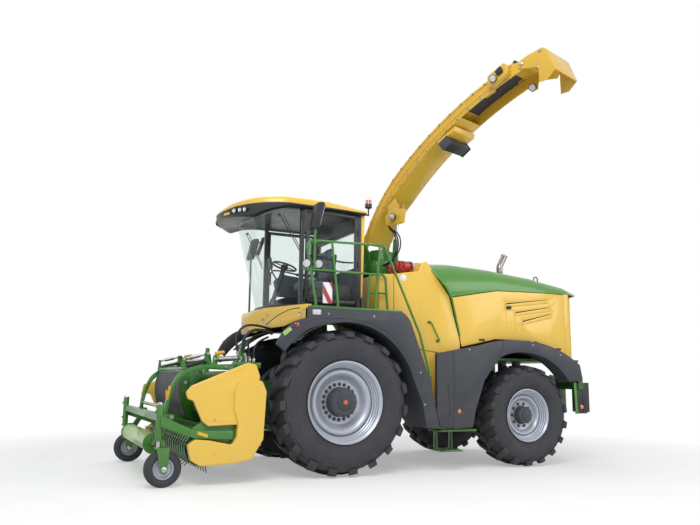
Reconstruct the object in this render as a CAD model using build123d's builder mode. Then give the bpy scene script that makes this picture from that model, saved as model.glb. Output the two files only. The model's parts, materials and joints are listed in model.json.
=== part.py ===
# Self-propelled forage harvester with a pick-up header, built as separate pieces that move on real joints.
# Millimetres, +X forward, +Y to the machine's left, +Z up.
# The origin is the middle of the rear coupling's pin bore.
# Pieces are laid out from the datum: the point on the ground line of the loaded tyres, below the front axle.
import os
from math import atan2, cos, degrees, pi, radians, sin

from build123d import *

os.makedirs("parts", exist_ok=True)

# ---- driving dimensions ----
front_axle_x = 4700.0   # from the coupling pin forward to the front axle
pin_height = 700.0      # coupling plate above the datum
tyre_sink = 55.0        # unloaded tyres reach this far below the datum
wheelbase = 3187.0
machine_width = 3000.0
skin = 20.0             # thickness of the body panels

# driven front wheel
front_radius = 990.0
front_width = 710.0
front_rim_radius = 559.0
front_centre_y = 1145.0
front_axle_z = front_radius - tyre_sink
# steered rear wheel
rear_radius = 775.0
rear_width = 600.0
rear_rim_radius = 406.0
rear_centre_y = 1115.0
rear_axle_z = rear_radius - tyre_sink
kingpin_y = 860.0
# discharge chute
slew_x = -1250.0
slew_angle = 72.0       # from straight back towards the left, as it stands
chute_width = 500.0
lift_pin = (-100.0, 3400.0)
lift_foot, lift_eye = (360.0, 3080.0), (420.0, 3840.0)
# pick-up header
header_pivot = (50.0, 1050.0)
reel_axis = (1900.0, 375.0)
reel_radius = 300.0
auger_axis = (1530.0, 810.0)
auger_radius = 228.0
roller_axis = (2450.0, 425.0)
roller_pivot = (2250.0, 745.0)
roller_half = 985.0
gauge_radius = 220.0
gauge_x = 2400.0
gauge_wheel_y = 1400.0
gauge_axle_z = gauge_radius - tyre_sink


def at(x, y, z):
    return (front_axle_x + x, y, z - pin_height)


def side_plane(y):
    # forward and up; a positive extrusion goes towards the machine's right
    return Plane(origin=at(0, y, 0), x_dir=(1, 0, 0), z_dir=(0, -1, 0))


def cross_plane(x):
    # left and up; a positive extrusion goes forward
    return Plane(origin=at(x, 0, 0), x_dir=(0, 1, 0), z_dir=(1, 0, 0))


def level_plane(z):
    return Plane(origin=at(0, 0, z), x_dir=(1, 0, 0), z_dir=(0, 0, 1))


chute_back = (-cos(radians(slew_angle)), sin(radians(slew_angle)), 0)
chute_side = (sin(radians(slew_angle)), cos(radians(slew_angle)), 0)


def chute_plane(offset):
    # along the chute and up; a positive extrusion goes to its near side
    origin = Vector(*at(slew_x, 0, 0)) + Vector(*chute_side) * offset
    return Plane(origin=origin, x_dir=chute_back, z_dir=chute_side)


def box(x, y, z):
    # a box between the pairs of limits
    size = (x[1] - x[0], y[1] - y[0], z[1] - z[0])
    with Locations(at(sum(x) / 2, sum(y) / 2, sum(z) / 2)):
        Box(*size)


def rod(start, end, radius, mode=Mode.ADD):
    # a straight round bar between two points
    a, b = Vector(*at(*start)), Vector(*at(*end))
    with Locations(Plane(origin=a, z_dir=b - a)):
        Cylinder(radius, (b - a).length, align=(Align.CENTER, Align.CENTER, Align.MIN), mode=mode)


def tube_run(points, radius, bend):
    # a bent round tube through the points, its corners rounded
    with BuildLine(mode=Mode.PRIVATE) as path:
        FilletPolyline(*[at(*p) for p in points], radius=bend)
    with BuildSketch(Plane(origin=path.line @ 0, z_dir=path.line % 0), mode=Mode.PRIVATE) as section:
        Circle(radius)
    sweep(section.sketch, path=path.line)


def plate(points, y, thickness, mode=Mode.ADD):
    # a flat plate of the given side outline, from y towards the right
    with BuildSketch(side_plane(y), mode=Mode.PRIVATE) as outline:
        with BuildLine():
            Polyline(*points, close=True)
        make_face()
    extrude(outline.sketch, amount=thickness, mode=mode)


def export_pair(piece, name):
    # the left piece and its mirror image on the right
    piece.label = f"{name}_left"
    export_step(piece, f"parts/{name}_left.step")
    with BuildPart() as twin:
        mirror(piece, about=Plane.XZ)
    twin.part.label = f"{name}_right"
    export_step(twin.part, f"parts/{name}_right.step")


# ---- main frame ----
front_rail_y, rear_rail_y = 430.0, 200.0
rail_z = (800.0, 1060.0)
deck_z = (1560.0, 1600.0)
platform_z = (2200.0, 2225.0)
cab_floor_z = (2250.0, 2310.0)
with BuildPart() as main_frame:
    for side in (1, -1):
        box((-1900, 250), sorted((side * 380, side * 480)), rail_z)
        box((-4250, -1800), sorted((side * 150, side * 250)), rail_z)
        # fender carriers and cab posts
        box((-1990, -1910), sorted((side * 150, side * 1440)), (860, 960))
        for x in (200, -450):
            box((x - 50, x + 50), sorted((side * 380, side * 480)), (1060, cab_floor_z[0]))
            box((x - 50, x + 50), sorted((side * 380, side * 900)), (2120, platform_z[0]))
        for x in (-3900, -2350):
            box((x - 60, x + 60), sorted((side * 150, side * 250)), (1060, deck_z[0]))
    box((-1900, -1780), (-480, 480), rail_z)
    box((-760, -700), (-380, 380), (800, 900))
    box((-4250, -4160), (-1440, 1440), (1120, 1320))
    box((-4250, -4160), (-250, 250), (660, 1120))
    for y in (-900, 900):
        box((-4250, -4160), (y - 40, y + 40), (1320, deck_z[0]))
    box((-4400, -1950), (-1200, 1200), deck_z)
main_frame.part.label = "main_frame"
export_step(main_frame.part, "parts/main_frame.step")

# ---- engine, as one block in its real place ----
with BuildPart() as engine_block:
    box((-3900, -2450), (-620, 620), (1600, 2450))
    chamfer(engine_block.edges().filter_by(Axis.X), 60)
engine_block.part.label = "engine_block"
export_step(engine_block.part, "parts/engine_block.step")

# ---- front axle: a dropped beam under the crop channel with a hub leg at each side ----
with BuildPart() as front_axle:
    box((-120, 120), (-620, 620), (500, 660))
    for side in (1, -1):
        box((-160, 160), sorted((side * 480, side * 620)), (500, 1180))
        for y in (342, 440):
            box((110, 232), sorted((side * y, side * (y + 18))), (520, 600))
        rod((200, side * 345, 560), (200, side * 455, 560), 15)
        rod((0, side * 600, front_axle_z), (0, side * 770, front_axle_z), 190)
        rod((0, side * 760, front_axle_z), (0, side * 1000, front_axle_z), 70)
front_axle.part.label = "front_axle"
export_step(front_axle.part, "parts/front_axle.step")

# ---- rear axle beam with the forks of the kingpins ----
with BuildPart() as rear_axle:
    rear_x = -wheelbase
    box((rear_x - 90, rear_x + 90), (-640, 640), (640, 800))
    for side in (1, -1):
        with BuildSketch(cross_plane(rear_x - 70)):
            with BuildLine():
                inner, outer = side * 630, side * (kingpin_y + 50)
                Polyline(
                    (inner, 600), (side * 760, 560), (outer, 560), (outer, 600), (side * 790, 600),
                    (side * 790, 840), (outer, 840), (outer, 880), (side * 760, 880), (inner, 800), close=True,
                )
            make_face()
        extrude(amount=140)
        with Locations(at(rear_x, side * kingpin_y, 720)):
            Cylinder(20.4, 400, mode=Mode.SUBTRACT)
rear_axle.part.label = "rear_axle"
export_step(rear_axle.part, "parts/rear_axle.step")

# ---- steering knuckles ----
with BuildPart() as knuckle:
    with Locations(at(-wheelbase, kingpin_y, 720)):
        Cylinder(50, 228)
        Cylinder(20, 330)
    rod((-wheelbase, kingpin_y, 720), (-wheelbase, 1010, 720), 45)
export_pair(knuckle.part, "knuckle")


# ---- wheels ----
# row: centre y, axle x, axle z, outer radius, tyre width, rim flange radius,
# then rim half width, lug count, lug height, hub radius, bore radius
wheel_table = {
    "front": (
        front_centre_y, 0.0, front_axle_z, front_radius, front_width, front_rim_radius,
        305, 19, 52, 190, 70.5,
    ),
    "rear": (
        rear_centre_y, -wheelbase, rear_axle_z, rear_radius, rear_width, rear_rim_radius,
        228, 18, 42, 125, 45.5,
    ),
}


def carcass_outline(radius, width, bead, half_rim):
    # half section of the tyre without lugs, given as (distance from the middle, radius)
    half = width / 2
    with BuildLine() as line:
        seat, flange = half_rim - 14, bead + 32
        Polyline((-seat, flange), (-seat, bead), (seat, bead), (seat, flange))
        ThreePointArc((seat, flange), (half, (bead + radius) / 2), (half * 0.9, radius * 0.955))
        shoulder, crown = half * 0.9, half * 0.5
        Polyline((shoulder, radius * 0.955), (crown, radius), (-crown, radius), (-shoulder, radius * 0.955))
        ThreePointArc((-half * 0.9, radius * 0.955), (-half, (bead + radius) / 2), (-seat, flange))
    return line.line


for axle, row in wheel_table.items():
    centre_y, x, z, radius, width, flange, half_rim, count, lug_height, hub, bore = row
    bead = flange - 26
    carcass_radius = radius - lug_height
    half = width / 2
    # sections are drawn along the axle and up, and turned about the axle
    section = Plane(origin=at(x, centre_y, z), x_dir=(0, 1, 0), z_dir=(1, 0, 0))
    spin = Axis(section.origin, (0, 1, 0))
    with BuildPart() as lug_envelope:
        with BuildSketch(section):
            with BuildLine():
                Polyline(
                    (-half, carcass_radius - 60), (half, carcass_radius - 60), (half * 0.94, radius * 0.965),
                    (half * 0.5, radius), (-half * 0.5, radius), (-half * 0.94, radius * 0.965), close=True,
                )
            make_face()
        revolve(axis=spin)
    with BuildPart() as lugs:
        # a slanted pair of bars, drawn above the top of the tyre
        pitch = 2 * pi * radius / count
        for half_side, shift in ((1, 0), (-1, pitch / 2)):
            with BuildSketch(Plane(origin=at(x, centre_y, z + radius + 30), x_dir=(1, 0, 0), z_dir=(0, 0, 1))):
                with BuildLine():
                    bar = width * 0.085
                    inner, mid, outer = -0.03 * width, width * 0.27, width * 0.52
                    tip, knee, heel = pitch * 0.42 + shift, pitch * 0.02 + shift, -pitch * 0.16 + shift
                    Polyline(
                        (tip + bar, half_side * inner), (knee + bar, half_side * mid),
                        (heel + bar, half_side * outer), (heel - bar, half_side * outer),
                        (knee - bar, half_side * mid), (tip - bar, half_side * inner), close=True,
                    )
                make_face()
            extrude(amount=-(lug_height + 85))
        add(lug_envelope.part, mode=Mode.INTERSECT)
    with BuildPart() as tyre:
        with BuildSketch(section):
            add(carcass_outline(carcass_radius, width - 20, bead, half_rim))
            make_face()
        revolve(axis=spin)
        add([lugs.part.rotate(spin, 360 / count * turn) for turn in range(count)])
    export_pair(tyre.part, f"{axle}_tyre")

    with BuildPart() as rim:
        with BuildSketch(section):
            with BuildLine():
                disc = half_rim * 0.12
                Polyline(
                    (-half_rim - 12, flange), (-half_rim, flange), (-half_rim + 12, bead),
                    (half_rim - 12, bead), (half_rim, flange), (half_rim + 12, flange),
                    (half_rim + 12, bead - 22), (half_rim * 0.62, bead - 30), (half_rim * 0.5, bead * 0.86),
                    (disc + 60, hub * 1.75), (disc + 25, hub * 1.3), (half_rim * 0.35, hub * 1.28),
                    (half_rim * 0.38, hub), (half_rim * 0.82, hub * 0.94), (half_rim * 0.86, hub * 0.45),
                    (half_rim * 0.92, hub * 0.42), (half_rim * 0.94, 0), (-half_rim * 0.28, 0),
                    (-half_rim * 0.28, bore), (-half_rim * 0.82, bore), (-half_rim * 0.82, hub * 0.8),
                    (0, hub * 0.9), (disc - 5, hub * 1.3), (disc + 30, hub * 1.75),
                    (half_rim * 0.4, bead * 0.8), (half_rim * 0.3, bead - 28), (-half_rim - 12, bead - 22),
                    close=True,
                )
            make_face()
        revolve(axis=spin)
    export_pair(rim.part, f"{axle}_rim")

# ---- chopper drum housing, crop duct and the neck below the chute ----
duct_half = 380.0
with BuildPart() as drum_housing:
    with BuildSketch(side_plane(duct_half)):
        with Locations(header_pivot):
            Circle(340)
        with BuildLine():
            Polyline(
                (120, 1380), (-560, 1720), (-940, 2200), (-950, 2560), (-1550, 2560), (-1540, 1900),
                (-1150, 1450), (-600, 960), (-150, 760), close=True,
            )
        make_face()
    extrude(amount=2 * duct_half)
    with Locations(at(slew_x, 0, 2750)):
        Cylinder(300, 400)
    with Locations(at(slew_x, 0, 2935)):
        Cylinder(350, 30)
        Cylinder(260, 30, mode=Mode.SUBTRACT)
    # deck round the neck, with a wall below the hood's front edge
    box((-1800, -720), (-475, 475), (2780, 2800))
    box((-1800, -1780), (-475, 475), (2800, 3090))
    with Locations(at(slew_x, 0, 2780)):
        Cylinder(260, 340, mode=Mode.SUBTRACT)
drum_housing.part.label = "drum_housing"
export_step(drum_housing.part, "parts/drum_housing.step")

# ---- body between cab and hood: a tank on each side, flaring out to the hood ----
# outlines as (forward, up) and (forward, left)
tank_side = [
    (-700, 2800), (-900, 2812), (-1310, 2875), (-1340, 3000), (-1425, 3020), (-1750, 2500), (-1900, 1800),
    (-1900, 570), (-1500, 570), (-1345, 1250), (-1020, 2060), (-880, 2235), (-700, 2235),
]
tank_plan = [
    (-700, 480), (-700, 1080), (-950, 1130), (-1300, 1200), (-1880, 1400), (-1900, 1400), (-1900, 480),
]
with BuildPart() as tanks:
    with BuildSketch(level_plane(500)):
        with BuildLine():
            Polyline(*tank_plan, close=True)
        make_face()
    extrude(amount=2600)
    plate(tank_side, 1450, 1000, mode=Mode.INTERSECT)
    mirror(about=Plane.XZ)
tanks.part.label = "tanks"
export_step(tanks.part, "parts/tanks.step")

# ---- rear hood ----
# row: forward, half width, seam height, shoulder y, shoulder z, crown z
hood_table = [
    (-1380, 1400, 2421, 1130, 2975, 3100),
    (-1950, 1400, 2523, 1135, 3015, 3145),
    (-2600, 1400, 2639, 1120, 2995, 3130),
    (-3400, 1400, 2660, 1070, 2915, 3045),
    (-4050, 1400, 2660, 990, 2800, 2890),
    (-4250, 1337, 2660, 930, 2745, 2810),
    (-4360, 1212, 2660, 860, 2705, 2755),
    (-4400, 1050, 2660, 780, 2680, 2705),
]


def hood_section(x, half, seam, shoulder_y, shoulder_z, crown, inset):
    # closed cross section of the hood, drawn inwards by the inset
    half, shoulder_y, shoulder_z, crown = half - inset, shoulder_y - inset, shoulder_z - inset, crown - inset
    side_mid = (half - (half - shoulder_y) * 0.22, seam + (shoulder_z - seam) * 0.62)
    top_mid = (shoulder_y * 0.52, crown - (crown - shoulder_z) * 0.26)
    low = seam - (2 if inset else 1)
    with BuildSketch(cross_plane(x), mode=Mode.PRIVATE) as section:
        with BuildLine():
            ThreePointArc((half, seam), side_mid, (shoulder_y, shoulder_z))
            ThreePointArc((shoulder_y, shoulder_z), top_mid, (0, crown))
            ThreePointArc((0, crown), (-top_mid[0], top_mid[1]), (-shoulder_y, shoulder_z))
            ThreePointArc((-shoulder_y, shoulder_z), (-side_mid[0], side_mid[1]), (-half, seam))
            Polyline((-half, seam), (-half, low), (half, low), (half, seam))
        make_face()
    return section.sketch


hood_front = [(-1100, 3300), (-1257, 3300), (-1434, 3012), (-1758, 2490), (-1900, 1900), (-1100, 1900)]
neck_clearance = 470.0
with BuildPart() as hood_void:
    loft([hood_section(*row, skin) for row in hood_table[:-1]], ruled=True)
with BuildPart() as hood_top:
    loft([hood_section(*row, 0) for row in hood_table], ruled=True)
    add(hood_void.part, mode=Mode.SUBTRACT)
    plate(hood_front, 1500, 3000, mode=Mode.SUBTRACT)
    with Locations(at(slew_x, 0, 3000)):
        Cylinder(neck_clearance, 800, mode=Mode.SUBTRACT)
    with Locations(at(-3450, 380, 2900)):
        Cylinder(70, 600, mode=Mode.SUBTRACT)
hood_top.part.label = "hood_top"
export_step(hood_top.part, "parts/hood_top.step")

# side flaps, hinged along their top edge
hood_side_outline = [
    (-1775, 2478), (-2600, 2627), (-3400, 2648), (-3945, 2648), (-3945, 1640), (-3640, 1780), (-3340, 1870),
    (-2560, 1880), (-2190, 1800), (-1935, 1745), (-1920, 1800),
]
# row: front end and rear end of a louvre's centre line
louvres = [((-2790, 2420), (-3590, 2520)), ((-2970, 2290), (-3650, 2400)), ((-3110, 2160), (-3660, 2290))]
with BuildPart() as hood_side:
    plate(hood_side_outline, 1400, skin)
    # slots cut along their slanted centre lines
    for front, rear in louvres:
        run = Vector(rear[0] - front[0], rear[1] - front[1])
        with BuildSketch(side_plane(1420)):
            with Locations(((front[0] + rear[0]) / 2, (front[1] + rear[1]) / 2)):
                SlotCenterToCenter(run.length, 42, rotation=degrees(atan2(run.Y, run.X)))
        extrude(amount=60, mode=Mode.SUBTRACT)
export_pair(hood_side.part, "hood_side")

# tail: wraps round both rear corners, with the cooling grille between
tail_z = (deck_z[1], 2659.0)
with BuildPart() as hood_tail:
    with BuildSketch(level_plane(tail_z[0])):
        with BuildLine():
            Polyline((-3950, -1400), (-4050, -1400))
            RadiusArc((-4050, -1400), (-4400, -1050), -350)
            Line((-4400, -1050), (-4400, 1050))
            RadiusArc((-4400, 1050), (-4050, 1400), -350)
            Polyline((-4050, 1400), (-3950, 1400), (-3950, 1400 - skin), (-4050, 1400 - skin))
            RadiusArc((-4050, 1400 - skin), (-4400 + skin, 1050), 350 - skin)
            Line((-4400 + skin, 1050), (-4400 + skin, -1050))
            RadiusArc((-4400 + skin, -1050), (-4050, -1400 + skin), 350 - skin)
            Polyline((-4050, -1400 + skin), (-3950, -1400 + skin), (-3950, -1400))
        make_face()
    extrude(amount=tail_z[1] - tail_z[0])
    grille_y, grille_z = 850, (1750, 2520)
    with Locations(at(-4400, 0, sum(grille_z) / 2)):
        Box(100, 2 * grille_y, grille_z[1] - grille_z[0], mode=Mode.SUBTRACT)
hood_tail.part.label = "hood_tail"
export_step(hood_tail.part, "parts/hood_tail.step")

# cooling grille: a frame with level slats in the tail's opening
with BuildPart() as rear_grille:
    with Locations(at(-4390, 0, sum(grille_z) / 2)):
        Box(20, 2 * grille_y, grille_z[1] - grille_z[0])
        Box(20, 2 * grille_y - 80, grille_z[1] - grille_z[0] - 80, mode=Mode.SUBTRACT)
        Box(16, 40, grille_z[1] - grille_z[0] - 40)
    for row in range(12):
        slat_z = grille_z[0] + 70 + row * 56
        box((-4398, -4384), (-grille_y + 20, grille_y - 20), (slat_z, slat_z + 22))
rear_grille.part.label = "rear_grille"
export_step(rear_grille.part, "parts/rear_grille.step")


# ---- fenders ----
def on_arch(centre, radius, angle):
    return (centre[0] + radius * cos(radians(angle)), centre[1] + radius * sin(radians(angle)))


front_hub = (0.0, front_axle_z)
arch_radius, brow_radius = 1085.0, 1130.0
lip_y, lip_thickness = machine_width / 2, 60.0
with BuildPart() as front_fenders:
    # outer lip
    with BuildSketch(side_plane(lip_y)):
        with BuildLine():
            arch_back, arch_top = on_arch(front_hub, arch_radius, 155), on_arch(front_hub, arch_radius, 88)
            brow_top, brow_end = on_arch(front_hub, brow_radius, 60), on_arch(front_hub, brow_radius, 36)
            Polyline(
                arch_back, (-1190, 900), (-1250, 570), (-1470, 570), (-1335, 1144), (-1335, 1300), (-1290, 1300),
                (-1020, 2000),
            )
            ThreePointArc((-1020, 2000), (-965, 2110), (-860, platform_z[0]))
            Polyline((-860, platform_z[0]), (590, platform_z[0]), (590, 2060), (700, 2035))
            ThreePointArc((700, 2035), (900, 1895), (1030, 1690))
            Line((1030, 1690), brow_end)
            ThreePointArc(brow_end, on_arch(front_hub, brow_radius, 48), brow_top)
            ThreePointArc(brow_top, on_arch(front_hub, arch_radius + 8, 74), arch_top)
            ThreePointArc(arch_top, on_arch(front_hub, arch_radius, 122), arch_back)
        make_face()
    extrude(amount=lip_thickness)
    # liner below the platform
    with BuildSketch(side_plane(lip_y - lip_thickness)):
        with BuildLine():
            inner = [on_arch(front_hub, arch_radius, a) for a in (45, 100, 155)]
            outer = [on_arch(front_hub, arch_radius + skin, a) for a in (155, 100, 45)]
            ThreePointArc(*inner)
            Polyline(inner[2], (-1190, 900), (-1250, 570), (-1250 - skin, 570), (-1190 - skin, 905), outer[0])
            ThreePointArc(*outer)
            Line(outer[2], inner[0])
        make_face()
    extrude(amount=lip_y - lip_thickness - 880)
    mirror(about=Plane.XZ)
front_fenders.part.label = "front_fenders"
export_step(front_fenders.part, "parts/front_fenders.step")

with BuildPart() as rear_fenders:
    arch = [
        (-3920, 1240), (-3560, 1550), (-3080, 1680), (-2560, 1590), (-2270, 1260), (-2100, 820), (-2040, 570),
    ]
    with BuildSketch(side_plane(lip_y)):
        with BuildLine():
            ThreePointArc(*arch[:3])
            ThreePointArc(arch[2], (-2790, 1668), arch[3])
            Polyline(*arch[3:], (-1482, 570), (-1430, 790), (-1430, 1630), (-2190, 1770))
            ThreePointArc((-2190, 1770), (-2370, 1815), (-2560, 1850))
            ThreePointArc((-2560, 1850), (-2950, 1870), (-3340, 1840))
            ThreePointArc((-3340, 1840), (-3790, 1710), (-4150, 1510))
            Polyline((-4150, 1510), (-4200, 1270), arch[0])
        make_face()
    extrude(amount=lip_thickness)
    with BuildSketch(side_plane(lip_y - lip_thickness)):
        with BuildLine():
            ThreePointArc(*arch[:3])
            ThreePointArc(arch[2], (-2790, 1668), arch[3])
            Polyline(arch[3], arch[4], arch[5], (arch[5][0] + 22, arch[5][1] + 5), (-2249, 1268), (-2545, 1604))
            ThreePointArc((-2545, 1604), (-2790, 1688), (-3080, 1700))
            ThreePointArc((-3080, 1700), (-3568, 1568), (-3934, 1254))
            Line((-3934, 1254), arch[0])
        make_face()
    extrude(amount=215)
    mirror(about=Plane.XZ)
rear_fenders.part.label = "rear_fenders"
export_step(rear_fenders.part, "parts/rear_fenders.step")

# ---- platforms, railing and steps ----
rail_y = 1470.0
mirror_x, mirror_foot_z = 510.0, 3285.0
with BuildPart() as platforms:
    for side in (1, -1):
        box((-860, 570), sorted((side * 860, side * 1490)), platform_z)
    # steps between the wheels, hung from the left tank
    for x, z in (((-2150, -1500), 510), ((-1900, -1550), 225)):
        box(x, (1140, 1440), (z, z + 22))
    for x in (-1590, -1850):
        box((x - 8, x + 8), (1140, 1230), (225, 570))
platforms.part.label = "platforms"
export_step(platforms.part, "parts/platforms.step")

with BuildPart() as railing:
    deck = platform_z[1]
    # top rail from the front post to the handrail's foot on the fender's ledge
    tube_run(
        [
            (480, rail_y, deck), (480, rail_y, deck + 60), (640, rail_y, 3120), (-570, rail_y, 3150),
            (-1160, rail_y, 1900), (-1311, rail_y, 1370), (-1311, rail_y, 1300),
        ],
        17, 90,
    )
    # row: forward at the foot, forward at the top, top height
    for foot, top, height in ((150, 252, 3129), (-430, -502, 3148)):
        tube_run([(foot, rail_y, deck), (foot, rail_y, deck + 60), (top, rail_y, height)], 17, 200)
    rod((680, rail_y, 2720), (-460, rail_y, 2720), 15)
    tube_run(
        [(-470, 1150, deck), (-470, 1150, deck + 60), (-500, 1150, 2780), (-760, 1150, 2780), (-800, 1150, deck + 60),
         (-800, 1150, deck)],
        17, 80,
    )
    rod((-486, 1150, 2500), (-782, 1150, 2500), 15)
    # tubes that carry the mirrors
    rod((mirror_x, rail_y, 2720), (mirror_x, rail_y, mirror_foot_z), 17)
    rod((mirror_x, -rail_y, deck), (mirror_x, -rail_y, mirror_foot_z), 17)
    # feet bolted to the deck; row: forward, left
    foot, foot_y = 28, rail_y - 8
    left_feet = [(x, foot_y) for x in (480, 150, -430)]
    for x, y in left_feet + [(mirror_x, -foot_y), (-470, 1150), (-800, 1150)]:
        box((x - foot, x + foot), (y - foot, y + foot), (deck, deck + 8))
railing.part.label = "railing"
export_step(railing.part, "parts/railing.step")

# ---- cab ----
cab_half, cab_rear, pillar = 850.0, -500.0, 60.0
front_pillar_x = 420.0
glass_z = (cab_floor_z[1], 3560.0)
with BuildPart() as cab_frame:
    with BuildSketch(level_plane(cab_floor_z[0])):
        with BuildLine():
            Polyline((480, -cab_half), (cab_rear, -cab_half), (cab_rear, cab_half), (480, cab_half))
            ThreePointArc((480, cab_half), (830, 0), (480, -cab_half))
        make_face()
    extrude(amount=cab_floor_z[1] - cab_floor_z[0])
    for side in (1, -1):
        for x in (front_pillar_x, cab_rear):
            box((x, x + pillar), sorted((side * (cab_half - pillar), side * cab_half)), glass_z)
    box((cab_rear, cab_rear + 40), (-cab_half + pillar, cab_half - pillar), glass_z)
    with Locations(at(cab_rear + 20, 0, 3200)):
        Box(60, 2 * (cab_half - pillar) - 100, 560, mode=Mode.SUBTRACT)
cab_frame.part.label = "cab_frame"
export_step(cab_frame.part, "parts/cab_frame.step")


def screen_section(z, reach, thickness):
    # a thin arc of glass from pillar to pillar
    start, end = (front_pillar_x + pillar, cab_half - 12), (front_pillar_x + pillar, -cab_half + 12)
    with BuildSketch(level_plane(z), mode=Mode.PRIVATE) as section:
        with BuildLine():
            ThreePointArc(start, (reach, 0), end)
            Line(end, (end[0], end[1] + thickness))
            ThreePointArc((end[0], end[1] + thickness), (reach - thickness, 0), (start[0], start[1] - thickness))
            Line((start[0], start[1] - thickness), start)
        make_face()
    return section.sketch


with BuildPart() as cab_glass:
    loft([screen_section(glass_z[0], 800, 12), screen_section(glass_z[1], 1150, 12)], ruled=True)
    with Locations(at(cab_rear + 20, 0, 3200)):
        Box(10, 2 * (cab_half - pillar) - 100, 560)
cab_glass.part.label = "cab_glass"
export_step(cab_glass.part, "parts/cab_glass.step")

# doors, hinged on the rear pillars
door_x, door_z = (-432.0, 412.0), (2335.0, 3535.0)
door_frame = 55.0
door_centre = (sum(door_x) / 2, 860, sum(door_z) / 2)
window = (door_x[1] - door_x[0] - 2 * door_frame, door_z[1] - door_z[0] - 2 * door_frame)
with BuildPart() as door:
    box(door_x, (845, 882), door_z)
    with Locations(at(*door_centre)):
        Box(window[0], 100, window[1], mode=Mode.SUBTRACT)
    rod((330, 895, 2780), (330, 895, 3020), 12)
    for z in (2800, 3000):
        rod((330, 880, z), (380, 880, z), 6)
export_pair(door.part, "door")
with BuildPart() as door_glass:
    with Locations(at(*door_centre)):
        Box(window[0], 8, window[1])
export_pair(door_glass.part, "door_glass")

# roof: a yellow cap on a dark visor that reaches out over the screen
roof_half = 950.0
roof_seam = [(-640, 3745), (300, 3720), (1000, 3680), (1570, 3510)]


def roof_plan(reach, half):
    with BuildSketch(level_plane(3300), mode=Mode.PRIVATE) as plan:
        with BuildLine():
            Polyline((700, -half), (-520, -half))
            ThreePointArc((-520, -half), (-640, 0), (-520, half))
            Line((-520, half), (700, half))
            ThreePointArc((700, half), (reach, 0), (700, -half))
        make_face()
    return plan.sketch


with BuildPart() as cab_roof:
    extrude(roof_plan(1570, roof_half), amount=800)
    with BuildSketch(side_plane(1000)):
        with BuildLine():
            ThreePointArc((1570, 3511), (1150, 3830), (500, 3935))
            ThreePointArc((500, 3935), (-100, 3900), (-660, 3800))
            Polyline((-660, 3800), (-660, 3746), roof_seam[1], roof_seam[2], (1570, 3511))
        make_face()
    extrude(amount=2000, mode=Mode.INTERSECT)
    with BuildSketch(cross_plane(-700)):
        with BuildLine():
            ThreePointArc((-roof_half, 3780), (0, 3950), (roof_half, 3780))
            Polyline((roof_half, 3780), (roof_half, 3500), (-roof_half, 3500), (-roof_half, 3780))
        make_face()
    extrude(amount=2400, mode=Mode.INTERSECT)
cab_roof.part.label = "cab_roof"
export_step(cab_roof.part, "parts/cab_roof.step")

with BuildPart() as roof_visor:
    extrude(roof_plan(1560, roof_half - 10), amount=800)
    visor = [
        (-660, 3744), roof_seam[1], roof_seam[2], (1570, 3509), (1540, 3440), (1430, 3380), (1300, 3430),
        (1235, glass_z[1]), (-660, glass_z[1]),
    ]
    plate(visor, 1000, 2000, mode=Mode.INTERSECT)
roof_visor.part.label = "roof_visor"
export_step(roof_visor.part, "parts/roof_visor.step")

# seat and steering column
with BuildPart() as seat:
    box((-330, 170), (-240, 240), (2310, 2620))
    box((-330, 200), (-260, 260), (2620, 2760))
    plate([(-330, 2760), (-180, 2760), (-270, 3330), (-400, 3330)], 250, 500)
    for side in (1, -1):
        box((-300, 120), sorted((side * 260, side * 320)), (2880, 2930))
        box((-330, -230), sorted((side * 250, side * 320)), (2760, 2930))
seat.part.label = "seat"
export_step(seat.part, "parts/seat.step")
with BuildPart() as steering_column:
    box((550, 680), (-70, 70), (2310, 2340))
    rod((614, 0, 2330), (420, 0, 2960), 35)
    with Locations(Plane(origin=at(415, 0, 2975), z_dir=(-0.3, 0, 1))):
        Torus(190, 14)
        Box(370, 24, 12)
        Box(24, 370, 12)
steering_column.part.label = "steering_column"
export_step(steering_column.part, "parts/steering_column.step")

# ---- front cowl below the screen: two flat cheeks that meet in a rounded nose ----
cowl_half, nose_x = 1430.0, 1085.0
with BuildPart() as front_cowl:
    with BuildSketch(level_plane(1800)) as cowl_plan:
        with BuildLine():
            Polyline((520, -cowl_half), (590, -cowl_half), (nose_x, 0), (590, cowl_half), (520, cowl_half))
            Line((520, cowl_half), (520, -cowl_half))
        make_face()
        fillet(cowl_plan.vertices().sort_by(Axis.X)[-1], 600)
        fillet(cowl_plan.vertices().sort_by(Axis.X)[2:4], 80)
    extrude(amount=500)
    with BuildSketch(side_plane(1500), mode=Mode.PRIVATE) as cowl_side:
        with BuildLine():
            Polyline((520, 2250), (900, 2250))
            ThreePointArc((900, 2250), (1000, 2185), (1050, 2075))
            ThreePointArc((1050, 2075), (1030, 1965), (962, 1903))
            Polyline((962, 1903), (885, 1955), (745, 1968), (665, 2033), (595, 2060), (595, 2198), (573, 2198))
            Polyline((573, 2198), (573, 2228), (520, 2228), (520, 2250))
        make_face()
    extrude(cowl_side.sketch, amount=3000, mode=Mode.INTERSECT)
    # lamp recesses in both cheeks; row: forward, left, up
    for x, y, z in ((640, 1303, 2115), (905, 518, 2065)):
        for side in (1, -1):
            with Locations(Plane(origin=at(x, side * y, z), z_dir=(cowl_half, side * (nose_x - 590), 0))):
                Cylinder(26, 50, mode=Mode.SUBTRACT)
front_cowl.part.label = "front_cowl"
export_step(front_cowl.part, "parts/front_cowl.step")

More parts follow.
